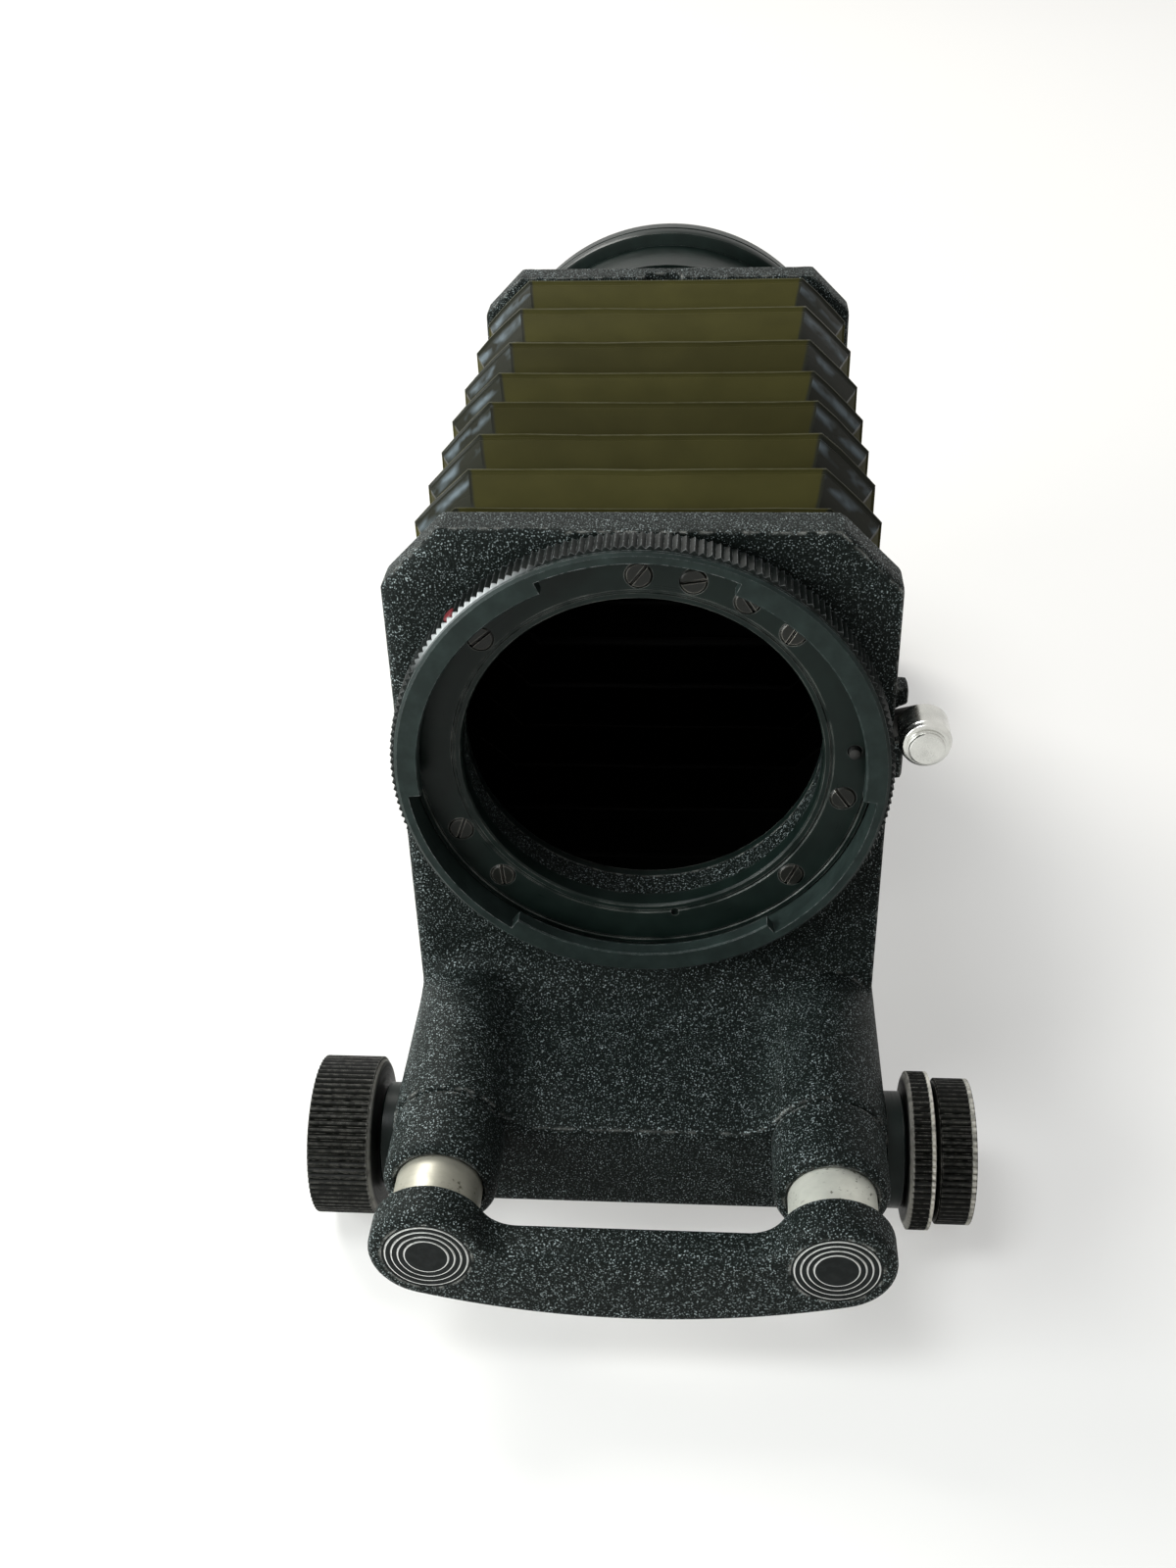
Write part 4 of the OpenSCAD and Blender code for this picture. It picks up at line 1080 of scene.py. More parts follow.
    def eased(self, width: float, segments: int = 2, angle: float = 32.0) -> "Blank":
        """Rounds the edges.

        Args:
            width: How wide, in millimetres.
            segments: In how many steps.
            angle: The least angle of an edge that is rounded.

        Returns:
            The piece itself.
        """
        return self.modify("BEVEL", width=width * MM, segments=segments, limit_method="ANGLE",
                           angle_limit=math.radians(angle), use_clamp_overlap=True, miter_outer="MITER_ARC")

    def placed(self, shift: Place = (0, 0, 0)) -> "Blank":
        """Shifts it and puts its origin back at the frame's.

        Args:
            shift: How far it moves, in millimetres.

        Returns:
            The piece itself.
        """
        self.rest()
        self.object.location = self.object.location + at(shift)
        bpy.ops.object.transform_apply(location=True, rotation=True, scale=True)
        return self

    def copy(self, name: str, shift: Place = (0, 0, 0), half_turn: bool = False) -> "Blank":
        """Copies it with a mesh of its own.

        Args:
            name: The copy's name.
            shift: How far the copy moves, in millimetres.
            half_turn: Whether it is turned half round the upright through the middle of the unit.

        Returns:
            The copy.
        """
        self.rest()
        bpy.ops.object.duplicate(linked=False)
        twin = Blank(name)
        if half_turn:
            bpy.ops.transform.rotate(value=math.pi, orient_axis="Z", center_override=at((0, MID_Y, 0)))
        return twin.placed(shift)

    def finish(self, body: str, slot: str, material: bpy.types.Material, replaces: Sequence[str] = (),
               angle: float = 32.0) -> "Blank":
        """Puts it in place, smooths and dresses it, and hands it to its body.

        Args:
            body: The body that it rides on.
            slot: The record's slot of its finish.
            material: Its finish.
            replaces: The CAD nodes that it stands for.
            angle: The least angle that stays a sharp edge.

        Returns:
            The piece itself.
        """
        self.smoothed(angle).dress(slot, material)
        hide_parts(*replaces)
        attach(self.object, body)
        LOG.info("%s rides on %s: %d faces", self.object.name, body, len(self.object.data.polygons))
        return self

    def smoothed(self, angle: float) -> "Blank":
        """Puts its origin at the frame's, cleans its skin and smooths it.

        Args:
            angle: The least angle that stays a sharp edge.

        Returns:
            The piece itself.
        """
        self.placed()
        self.edit().closed()
        self.rest()
        bpy.ops.object.shade_smooth_by_angle(angle=math.radians(angle))
        return self

    def dress(self, slot: str, material: bpy.types.Material) -> None:
        """Gives it one finish.

        Args:
            slot: The slot; not used.
            material: The finish.
        """
        self.object.data.materials.clear()
        self.object.data.materials.append(material)


def progress(value: float, low: float, high: float) -> float:
    """Says how far a value has come from one bound to the other, from 0 to 1."""
    return min(1.0, max(0.0, (value - low) / (high - low)))


def spread(axis: Axis, along: float, across: Point) -> Place:
    """Places a point by its way along an axis and its two other coordinates, in their order."""
    return {Axis.X: (along, across[0], across[1]), Axis.Y: (across[0], along, across[1]),
            Axis.Z: (across[0], across[1], along)}[axis]


# ---------------------------------------------------------------------------------------------------------------------
# The unit's own places, in millimetres
# ---------------------------------------------------------------------------------------------------------------------

MID_Y = 51.5
ROD: Point = (22.3, -38.6)
SHAFT: Point = (-16.7, -45.8)
REAR_SHAFT: Point = (2 * MID_Y - SHAFT[0], SHAFT[1])
REAR_SHIFT: Place = (0.0, REAR_SHAFT[0] - SHAFT[0], 0.0)
PIN: Point = (24.44, 1.71)
THROAT_R = 21.0
LIGHT_R = 21.4


class End(Enum):
    """The unit's two ends, and the body of the standard that stands there."""

    FRONT = "front_standard"
    REAR = "rear_standard"

    @property
    def word(self) -> str:
        """The first part of the names of its pieces."""
        return self.value.split("_")[0]


@dataclass
class Castings:
    """The two cast standards: an octagonal plate over a carriage with two bosses."""

    half: float = 28.8
    top: float = 28.5
    chamfer: float = 6.8
    thick: float = 5.4
    boss_r: float = 7.0
    front: float = -22.8
    back: float = 13.0
    under: float = -50.5
    corner_r: float = 2.5
    ridge_z: float = -38.0
    floor: Point = (-6.0, -35.5)
    hollow_r: float = 6.0
    bore_r: float = 5.93
    shaft_bore_r: float = 3.75
    wide: float = 30.0
    sweep_r: float = 5.0
    flare: float = 1.7
    flare_run: float = 11.0
    shoulder: float = -29.5
    rear_top: float = 26.7
    rear_corner: tuple[Point, ...] = ((20.7, 29.0), (30.7, 19.0), (30.7, 29.0))
    notch: tuple[Place, Place] = ((-2.2, 3.2, 25.0), (3.3, 6.4, 28.0))
    lug: tuple[Place, Place] = ((27.8, 2.4, -4.5), (30.5, 5.4, 8.0))
    pocket_r: Point = (1.85, 2.45)
    pocket_end: Point = (32.0, 4.0)
    pocket_y: float = 1.7
    pin_bore_r: float = 0.9
    voxel: float = 0.5

    def core(self) -> Blank:
        """Shapes what both castings share.

        Returns:
            The casting, in the front one's place.
        """
        half, top, cut = self.half, self.top, self.chamfer
        core = Blank.plate("casting_core", [
            (-half, ROD[1]), (-half, top - cut), (cut - half, top), (half - cut, top), (half, top - cut),
            (half, ROD[1])], 0, self.thick)
        side = ROD[0] + self.boss_r
        low = Blank.block("carriage_block", (-side, self.front, self.under), (side, self.back, ROD[1])).edit()
        low.pick(lambda p: abs(p.z - self.under) < 0.1 and abs(abs(p.x) - side) < 0.1, "EDGE")
        bpy.ops.mesh.bevel(offset=self.corner_r * MM, segments=6)
        core.joined(low)
        for x in (-ROD[0], ROD[0]):
            core.joined(Blank.drum("boss", Axis.Y, self.boss_r, self.front, self.back, (x, ROD[1]), 96))
        y, z = self.floor
        rise = arc((y, z + self.hollow_r), self.hollow_r, -90, 0, 10)
        core.joined(Blank.plate("hollow_floor", [
            (self.front, ROD[1] - 1), (self.front, self.ridge_z), *rise, (self.thick, z + self.hollow_r),
            (self.thick, ROD[1] - 1)], -ROD[0], ROD[0], Axis.X))
        for side in (-1, 1):
            core.joined(self.fillet(side))
        return core

    def fillet(self, side: int) -> Blank:
        """Fills the corner between a boss and the hollow's floor with a concave sweep.

        Args:
            side: -1 for the left boss, 1 for the right one.

        Returns:
            The sweep.
        """
        r, loops = self.sweep_r, []
        for y, floor in ((self.front + 0.01, self.ridge_z), self.floor, (-2.0, self.floor[1] + 1.6)):
            up = floor + r - ROD[1]
            reach = math.sqrt((self.boss_r + r) ** 2 - up * up)
            middle = (ROD[0] - reach, floor + r)
            touch = math.degrees(math.atan2(-up, reach))
            curve = arc(middle, r, -90, touch, 8)
            loops.append([(side * p, y, q) for p, q in [*curve, (ROD[0], ROD[1]), (curve[0][0], ROD[1])]])
        return Blank.lofted("boss_sweep", loops)

    def soften(self, casting: Blank) -> None:
        """Gives the casting one skin and lets it flow in its hollow and at the bosses' feet.

        Args:
            casting: A casting in the front one's place.
        """
        casting.modify("REMESH", mode="VOXEL", voxel_size=self.voxel * MM)
        for v in casting.object.data.vertices:
            x, y, z = v.co / MM
            back = progress(y, self.front, self.front + self.flare_run)
            side = progress(abs(x), ROD[0], ROD[0] + self.boss_r) * progress(z, self.shoulder, self.shoulder - 3)
            v.co.x += math.copysign(self.flare * MM, x) * side * math.sin(back * math.pi / 2)
        hollow = casting.object.vertex_groups.new(name="hollow")
        skin = casting.object.vertex_groups.new(name="skin")
        for v in casting.object.data.vertices:
            x, y, z = v.co / MM
            inside = progress(abs(x), 21.5, 18.5) * progress(y, -22.3, -21.1)
            inside *= progress(y, 0.6, 0) * progress(z, -41, -39.5)
            foot = progress(y, -6, -3) * progress(y, 3, 1) * progress(z, -37, -34) * progress(z, -22, -25)
            if max(inside, foot) > 0:
                hollow.add([v.index], max(inside, foot), "REPLACE")
            if y < -0.5 or z < -30:
                skin.add([v.index], 1.0, "REPLACE")
        casting.modify("SMOOTH", factor=0.5, iterations=2)
        casting.modify("SMOOTH", factor=0.5, iterations=4, vertex_group="skin")
        casting.modify("SMOOTH", factor=0.5, iterations=70, vertex_group="hollow")

    def bored(self, casting: Blank) -> None:
        """Bores the casting for the light, the rods and the shaft.

        Args:
            casting: A casting in the front one's place.
        """
        casting.cut(Blank.drum("light_bore", Axis.Y, LIGHT_R, -1, self.thick + 1, (0, 0), 128))
        for x in (-ROD[0], ROD[0]):
            casting.cut(Blank.drum("rod_bore", Axis.Y, self.bore_r, self.front - 1, self.back + 1, (x, ROD[1]), 64))
        casting.cut(Blank.drum("shaft_bore", Axis.X, self.shaft_bore_r, -self.wide, self.wide, SHAFT, 48))

    def build(self, enamel: bpy.types.Material) -> None:
        """Makes both castings.

        Args:
            enamel: Their finish.
        """
        front = self.core()
        rear = front.copy("rear_casting_skin")
        front.joined(Blank.block("side_lug", *self.lug))
        front.object.name = front.object.data.name = "front_casting_skin"
        rear.cut(Blank.block("top_strip", (-self.wide, -1, self.rear_top),
                             (self.wide, self.thick + 1, self.top + 1)))
        for side in (-1, 1):
            rear.cut(Blank.plate("top_corner", [(side * x, z) for x, z in self.rear_corner], -1, self.thick + 1))
        rear.cut(Blank.block("top_notch", *self.notch))
        for casting in (front, rear):
            self.soften(casting)
            self.bored(casting)
        front.cut(Blank.plate("arm_pocket", [
            *arc(PIN, self.pocket_r[0], 105, 285, 10), *arc(self.pocket_end, self.pocket_r[1], -75, 105, 10)],
            self.pocket_y, self.thick + 1))
        front.cut(Blank.drum("pin_bore", Axis.Y, self.pin_bore_r, -1, self.thick, PIN, 24))
        rear.rest()
        bpy.ops.transform.rotate(value=math.pi, orient_axis="Z", center_override=at((0, MID_Y, 0)))
        front.finish("front_standard", "crinkle_black", enamel, ["front_casting"])
        rear.finish("rear_standard", "crinkle_black", enamel, ["rear_casting"])


@dataclass
class Collars:
    """The enamelled collars that wipe the rods at each carriage's outer side."""

    radius: float = 6.6
    bore: float = 5.05
    front: float = -31.8
    back: float = -22.8
    round_r: float = 1.1
    seam: float = 0.25

    def build(self, enamel: bpy.types.Material) -> None:
        """Makes four collars.

        Args:
            enamel: Their finish.
        """
        rim = [(p, self.front + self.round_r + q) for p, q in arc((self.radius - self.round_r, 0), self.round_r,
                                                                   -90, 0, 6)]
        profile = [(self.bore, self.front + 0.3), (self.bore + 0.3, self.front), *rim,
                   (self.radius, self.back - self.seam), (self.radius - self.seam, self.back), (self.bore, self.back)]
        first = Blank.turned("front_collar_left", Axis.Y, (-ROD[0], ROD[1]), profile, 72)
        second = first.copy("front_collar_right", (2 * ROD[0], 0, 0))
        third = first.copy("rear_collar_right", half_turn=True)
        fourth = second.copy("rear_collar_left", half_turn=True)
        for collar, end in ((first, End.FRONT), (second, End.FRONT), (third, End.REAR), (fourth, End.REAR)):
            collar.finish(end.value, "crinkle_black", enamel, [f"{end.word}_collars"])


@dataclass
class EndBars:
    """The bars that hold the rods' ends, with round ends, a straight waist and a bowed lower edge."""

    end_r: float = 6.6
    waist: float = -37.9
    fillet_x: float = 12.8
    fillet_r: float = 4.0
    low: float = -48.2
    front: float = -41.9
    back: float = -37.1
    cap_r: float = 4.95
    cap_t: float = 0.9
    rod_seat_r: float = 5.02
    rod_seat: float = 1.8
    ease: float = 0.95

    def outline(self) -> list[Point]:
        """Walks once round the bar: the bowed edge runs into the round ends without a corner.

        Returns:
            The points.
        """
        x, z = ROD
        fillet_z = self.waist + self.fillet_r
        touch = math.degrees(math.atan2(fillet_z - z, x - self.fillet_x))
        drop = z - self.low
        bow_r = (x * x + drop * drop - self.end_r * self.end_r) / (2 * (drop - self.end_r))
        lean = math.degrees(math.atan2(x, bow_r - drop))
        bow = arc((0, self.low + bow_r), bow_r, -90 - lean, -90 + lean, 40)
        right = arc((x, z), self.end_r, -90 + lean, 180 - touch, 30)
        notch = arc((self.fillet_x, fillet_z), self.fillet_r, -touch, -90, 10)
        left = [(-p, q) for p, q in reversed(notch)] + [(-p, q) for p, q in reversed(right)]
        return bow[1:-1] + right + notch + left

    def build(self, enamel: bpy.types.Material) -> None:
        """Makes both bars.

        Args:
            enamel: Their finish.
        """
        bar = Blank.plate("end_bar_front_skin", self.outline(), self.front, self.back)
        bar.eased(self.ease, 5, 50)
        for x in (-ROD[0], ROD[0]):
            place = (x, ROD[1])
            bar.cut(Blank.drum("cap_seat", Axis.Y, self.cap_r, self.front - 1, self.front + self.cap_t, place, 96))
            bar.cut(Blank.drum("rod_seat", Axis.Y, self.rod_seat_r, self.back - self.rod_seat, self.back + 1,
                               place, 96))
        twin = bar.copy("end_bar_rear_skin", half_turn=True)
        bar.finish("rails", "crinkle_black", enamel, ["end_bar_front"])
        twin.finish("rails", "crinkle_black", enamel, ["end_bar_rear"])


@dataclass
class KnurledDisc:
    """A round piece on the pinion shaft with straight ridges round its rim."""

    name: str
    replaces: str
    body: str
    radius: float
    inner: float
    outer: float
    ridges: int
    bore: float = 0.0
    depth: float = 0.4
    edge: float = 0.5
    dish: float = 0.35
    crown: float = 0.7
    columns: tuple[float, ...] = (1.0, 0.35, 0.0, 0.0, 0.35)

    def profile(self) -> list[Point]:
        """Walks from the inner face's middle over the rim to the outer face's middle.

        Returns:
            The points, each with its radius and its place along the shaft.
        """
        way = 1 if self.outer > self.inner else -1
        wide = abs(self.outer - self.inner)
        r = self.radius
        rim = [(r - 1.0, 0.0), (r - 0.55, 0.1), (r - 0.38, 0.3), (r - 0.38, self.edge), (r, self.edge + 0.1),
               (r, wide - self.crown), (r - 0.45, wide - self.crown + 0.1), (r - 0.8, wide - 0.03), (r - 1.25, wide)]
        if self.bore > 0:
            rim = [(self.bore, 0.0), *rim, (self.bore, wide)]
        else:
            rim = [(0.0, 0.0), *rim, (r - 2.1, wide), (r - 2.45, wide - self.dish), (0.0, wide - self.dish)]
        return [(p, self.inner + way * q) for p, q in rim]

    def build(self, finishes: Sequence[bpy.types.Material]) -> None:
        """Makes the front disc and its twin at the rear.

        Args:
            finishes: The finish of each.
        """
        low, high = sorted((self.inner, self.outer))
        disc = ridged(self.name, Axis.X, SHAFT, self.profile(), (low, high), self.radius, self.depth, self.ridges,
                      self.columns, self.bore > 0)
        twin = disc.copy(self.name.replace("front", "rear"), REAR_SHIFT)
        disc.finish(self.body, "black_knurl", finishes[0], [self.replaces])
        twin.finish(self.body.replace("front", "rear"), "black_knurl", finishes[1],
                    [self.replaces.replace("front", "rear")])


def ridged(name: str, axis: Axis, centre: Point, profile: Sequence[Point], band: Point, radius: float, depth: float,
           ridges: int, columns: Sequence[float], ring: bool) -> Blank:
    """Turns a profile with straight ridges round its rim: one ridge is shaped and copied round the axle.

    Args:
        name: The piece's name.
        axis: The axle's way.
        centre: Its place across the axis.
        profile: Points of radius and place along the axis.
        band: Where the ridges lie along the axis.
        radius: The radius at the ridges' tops, which marks the points that are moved.
        depth: How deep the grooves are.
        ridges: The number of ridges.
        columns: How deep each of a ridge's steps lies, as a share of the depth.
        ring: Whether the profile closes on itself.

    Returns:
        The piece.
    """
    blank = Blank.traced(name, [spread(axis, along, (centre[0] + reach, centre[1])) for reach, along in profile])
    if ring:
        bpy.ops.mesh.edge_face_add()
        bpy.ops.mesh.delete(type="ONLY_FACE")
    pitch = math.tau / ridges
    blank.spin(axis, centre, len(columns), pitch)
    keep = {Axis.X: lambda p: (p.x, p.y, p.z), Axis.Y: lambda p: (p.y, p.x, p.z), Axis.Z: lambda p: (p.z, p.x, p.y)}
    for number in range(len(columns) + 1):
        share = columns[number % len(columns)]
        turn = number * pitch / len(columns)

        def taken(place: Vector) -> bool:
            """Says whether a point lies on this step of the ridge.

            Args:
                place: The point, in millimetres.

            Returns:
                Whether it does.
            """
            along, across, up = keep[axis](place)
            across, up = across - centre[0], up - centre[1]
            return (band[0] - 0.01 <= along <= band[1] + 0.01 and abs(math.hypot(across, up) - radius) < 0.01
                    and abs(abs(math.atan2(up, across)) - turn) < pitch * 0.05)

        if share > 0:
            factor = (radius - depth * share) / radius
            blank.pick(taken)
            size = [factor] * 3
            size[axis.value] = 1.0
            bpy.ops.transform.resize(value=size, center_override=at(spread(axis, 0, centre)))
    bpy.ops.mesh.select_mode(type="VERT")
    blank.spin(axis, centre, ridges - 1, math.tau * (ridges - 1) / ridges, copies=True)
    return blank.closed()


@dataclass
class Drive:
    """What sits on the pinion shafts: necks, knobs and clamp rings."""

    side: float = 29.3
    neck: float = 31.4
    wide: tuple[float, float, float] = (9.6, -31.9, -39.6)
    ring: tuple[float, float, float] = (9.45, 31.85, 34.95)
    narrow: tuple[float, float, float] = (8.7, 35.2, 39.8)

    def rubbed(self, name: str, size: tuple[float, float, float], rims: Sequence[Place]) -> list[bpy.types.Material]:
        """Makes a knurled piece's finish for each end of the unit.

        Args:
            name: The finish's name.
            size: The piece's radius and its two faces' places.
            rims: Each bright rim's place, width and strength.

        Returns:
            The front finish and the rear one.
        """
        return [RidgedAnodised(f"{name}_{end}", Axis.X, (0, *shaft), size[0], tuple(rims)).make()
                for end, shaft in (("front", SHAFT), ("rear", REAR_SHAFT))]

    def build(self) -> None:
        """Makes both ends' knobs, rings and necks."""
        wide = self.rubbed("anodised_wide_knob", self.wide, [(self.wide[1] - 0.2, 0.34, 0.3)])
        ring = self.rubbed("anodised_clamp_ring", self.ring, [
            (self.ring[1] + 0.2, 0.36, 0.5), (self.ring[2] - 0.3, 0.34, 1.0)])
        narrow = self.rubbed("anodised_narrow_knob", self.narrow, [(self.narrow[2] - 0.45, 0.3, 0.8)])
        KnurledDisc("front_knob_wide_skin", "front_knob_wide", "front_drive", *self.wide, 72, edge=0.36,
                    crown=0.14).build(wide)
        KnurledDisc("front_clamp_ring_skin", "front_clamp_ring", "front_clamp", *self.ring, 71, bore=5.06,
                    edge=0.25, crown=0.2, columns=(1.0, 0.4, 0.0, 0.4)).build(ring)
        KnurledDisc("front_knob_narrow_skin", "front_knob_narrow", "front_drive", *self.narrow, 66, edge=0.36,
                    crown=0.18).build(narrow)
        a, b, c, d = self.side, self.neck, self.side + 2.3, self.ring[2] - 0.05
        neck = Blank.turned("front_shaft_neck", Axis.X, SHAFT, [
            (1.9, -a), (6.3, -a), (6.5, -a - 0.2), (6.5, 0.3 - b), (6.2, -b), (1.9, -b)], 64)
        boss = Blank.turned("front_lock_flange", Axis.X, SHAFT, [
            (1.9, a), (6.8, a), (7.0, a + 0.2), (7.0, c - 0.2), (6.8, c), (5.0, c), (5.0, d), (1.9, d)], 64)
        turned = [Anodised(f"anodised_neck_{end}", Axis.X, (0, *shaft)).make()
                  for end, shaft in (("front", SHAFT), ("rear", REAR_SHAFT))]
        for piece, node in ((neck, "shaft_bush"), (boss, "lock_boss")):
            twin = piece.copy(piece.object.name.replace("front", "rear"), REAR_SHIFT)
            piece.finish("front_standard", "black_anodised", turned[0], [f"front_{node}"])
            twin.finish("rear_standard", "black_anodised", turned[1], [f"rear_{node}"])


@dataclass
class LensMount:
    """The bayonet on the front plate: flange with its screws, lock ring with lugs, and the sprung button.

    Lengths are in millimetres and angles in degrees. The leaf has its place at the ends and in the middle, and its
    size is its length, width and thickness.
    """

    flange_r: float = 27.0
    rise: float = -1.2
    lip_r: float = 26.3
    seat: float = 1.3
    screw_circle: float = 23.9
    screw_at: tuple[float, ...] = (90, 75.6, 60.3, 44.9, 138, 204.5, 224.3, 348.6, 318.3)
    slot_at: tuple[float, ...] = (52, 8, 122, 60, 40, 70, 95, 125, 65)
    head_r: float = 1.5
    ring_r: float = 28.9
    ring_front: float = -5.0
    ring_back: float = -0.1
    lug_r: float = 25.6
    lug_t: float = 1.8
    groove_r: float = 27.1
    knurl: Point = (-4.3, -0.7)
    ridges: int = 192
    ridge_depth: float = 0.42
    recess: float = 48.0
    recess_at: tuple[float, ...] = (90, 210, 330)
    button_at: Point = (32.1, 4.0)
    leaf: Point = (3.7, 5.25)
    leaf_size: Place = (4.8, 1.6, 0.25)
    arm_r: Point = (1.6, 1.3)
    arm_y: Point = (2.0, 3.6)
    pin_r: float = 0.7
    dark_steel: Colour = (0.05, 0.05, 0.048)

    def flange(self, finish: bpy.types.Material) -> None:
        """Turns the flange and sinks its screw seats.

        Args:
            finish: Its finish.
        """
        r = self.flange_r
        flange = Blank.turned("lens_flange_skin", Axis.Y, (0, 0), [
            (THROAT_R, -0.95), (THROAT_R + 0.18, self.rise), (THROAT_R + 0.75, self.rise),
            (THROAT_R + 0.85, self.rise + 0.12), (THROAT_R + 1.1, self.rise + 0.12), (THROAT_R + 1.2, self.rise),
            (r - 0.95, self.rise), (r - 0.85, self.rise + 0.1), (r - 0.7, self.rise + 0.1), (r - 0.6, self.rise),
            (r - 0.15, self.rise), (r, self.rise + 0.15), (r, -0.7), (self.lip_r, -0.7), (self.lip_r, self.seat),
            (THROAT_R + 0.15, self.seat), (THROAT_R, self.seat - 0.15)], 192)
        for turn in self.screw_at:
            place = (self.screw_circle * math.cos(math.radians(turn)), self.screw_circle * math.sin(math.radians(turn)))
            flange.cut(Blank.drum("screw_seat", Axis.Y, self.head_r + 0.06, self.rise - 1, self.rise + 0.8, place, 32))
        flange.cut(Blank.drum("pin_seat", Axis.Y, 0.85, self.rise - 1, self.seat + 1, PIN, 24))
        flange.cut(Blank.drum("mark", Axis.Y, 0.5, self.rise - 1, self.rise + 0.4, (3.87, -21.97), 24))
        flange.finish("front_standard", "black_anodised", finish, ["lens_flange"], 28)

    def screws(self, finish: bpy.types.Material) -> None:
        """Makes one slotted screw and sets its copies round the flange.

        Args:
            finish: Their finish.
        """
        top = self.rise - 0.12
        first = Blank.turned("flange_screw", Axis.Y, (0, 0), [
            (0.0, top), (self.head_r - 0.2, top), (self.head_r, top + 0.2), (self.head_r, top + 0.8), (0.78, top + 0.8),
            (0.78, 3.8), (0.0, 3.8)], 32)
        first.cut(Blank.block("slot", (-2, top - 1, -0.17), (2, top + 0.5, 0.2)))
        for number, (turn, slot) in enumerate(zip(self.screw_at, self.slot_at), 1):
            screw = first.copy(f"flange_screw_{number}")
            bpy.ops.transform.rotate(value=math.radians(slot), orient_axis="Y", center_override=(0, 0, 0))
            reach = self.screw_circle
            screw.placed((reach * math.cos(math.radians(turn)), 0, reach * math.sin(math.radians(turn))))
            screw.finish("front_standard", "black_screw", finish, ["lens_flange_screws"])
        bpy.data.objects.remove(first.object)

    def lock_ring(self, finish: bpy.types.Material, red: bpy.types.Material) -> None:
        """Turns the ridged ring, cuts its three recesses and sets the index dot.

        Args:
            finish: The ring's finish.
            red: The dot's finish.
        """
        r, front, back = self.ring_r, self.ring_front, self.ring_back
        core = r - self.ridge_depth - 0.15
        profile = [
            (self.lug_r, front + 0.15), (self.lug_r + 0.15, front), (core - 0.35, front), (core, front + 0.3),
            (core, self.knurl[0]), (r, self.knurl[0] + 0.1), (r, self.knurl[1] - 0.1), (core, self.knurl[1]),
            (core, back), (26.4, back), (26.4, -0.6), (self.groove_r, -0.6), (self.groove_r, front + self.lug_t),
            (self.lug_r, front + self.lug_t)]
        ring = ridged("lens_lock_ring_skin", Axis.Y, (0, 0), profile, self.knurl, r, self.ridge_depth, self.ridges,
                      (1.0, 0.45, 0.0, 0.45), True)
        for turn in self.recess_at:
            sweep = self.recess / 2
            cutter = [*arc((0, 0), self.groove_r, turn - sweep, turn + sweep, 16),
                      *arc((0, 0), self.lug_r - 2, turn + sweep, turn - sweep, 4)]
            ring.cut(Blank.plate("recess", cutter, front - 1, front + self.lug_t + 0.01))
        ring.finish("lens_ring", "black_knurl", finish, ["lens_lock_ring"], 28)
        dot = Blank.turned("index_dot_skin", Axis.X, (-3.1, 0.0), [
            (0.0, r + 0.12), (0.5, r + 0.1), (0.78, r), (0.9, r - 0.2), (0.92, r - 1.0), (0.0, r - 1.0)], 32)
        dot.placed()
        bpy.ops.transform.rotate(value=math.radians(136), orient_axis="Y", center_override=(0, 0, 0))
        dot.finish("lens_ring", "red_enamel", red, ["ring_index_dot"])

    def button(self, chrome: bpy.types.Material) -> None:
        """Turns the release button: a small disc on a stepped cone over a wider foot.

        Args:
            chrome: Its finish.
        """
        x, z = self.button_at
        step = [(2.35 + 0.4 * math.sin(math.radians(t)), -3.3 - 0.3 * math.cos(math.radians(t)))
                for t in range(0, 91, 18)]
        Blank.turned("release_button_skin", Axis.Y, (x, z), [
            (0.0, -4.4), (1.84, -4.4), (1.97, -4.33), (2.02, -4.2), (2.02, -3.95), (2.2, -3.9), (2.2, -3.62),
            *step, (2.85, -2.9), (2.93, -2.8), (2.93, 0.85), (2.8, 1.0), (1.2, 1.0), (1.2, 2.0), (0.0, 2.0)],
            96).finish("lens_release", "bright_chrome", chrome, ["release_button"], 25)

    def arm(self, steel: bpy.types.Material) -> None:
        """Cuts the arm behind the button, with the pin that locks the lens.

        Args:
            steel: Its finish.
        """
        arm = Blank.plate("release_arm_skin", [*arc(PIN, self.arm_r[0], 105, 285, 12),
                                               *arc(self.button_at, self.arm_r[1], -75, 105, 12)], *self.arm_y)
        arm.joined(Blank.drum("lock_pin", Axis.Y, self.pin_r, -2.0, 2.6, PIN, 24))
        arm.eased(0.12)
        arm.finish("lens_release", "steel_screw", steel, ["release_arm"])

    def spring(self, steel: bpy.types.Material) -> None:
        """Bends the leaf behind the arm, drawn at rest; the real leaf flattens as the button goes in.

        Args:
            steel: Its finish.
        """
        (x, z), (a, b) = ((p + q) / 2 for p, q in zip(PIN, self.button_at)), self.leaf
        half, rise = self.leaf_size[0] / 2, b - a
        radius = (half * half + rise * rise) / (2 * rise)
        sweep = math.degrees(math.asin(half / radius))
        middle = (x, a + radius)
        leaf = Blank.plate("release_spring_skin", [
            *arc(middle, radius, -90 - sweep, -90 + sweep, 16),
            *arc(middle, radius - self.leaf_size[2], -90 + sweep, -90 - sweep, 16)],
            z - self.leaf_size[1] / 2, z + self.leaf_size[1] / 2, Axis.Z)
        leaf.smoothed(40).dress("steel_screw", steel)
        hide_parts("release_spring")
        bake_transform(leaf.object, "lens_release", "front_standard", start=at((x, a, z)), end=at((x, b, z)))
        LOG.info("release_spring_skin bends between lens_release and front_standard")

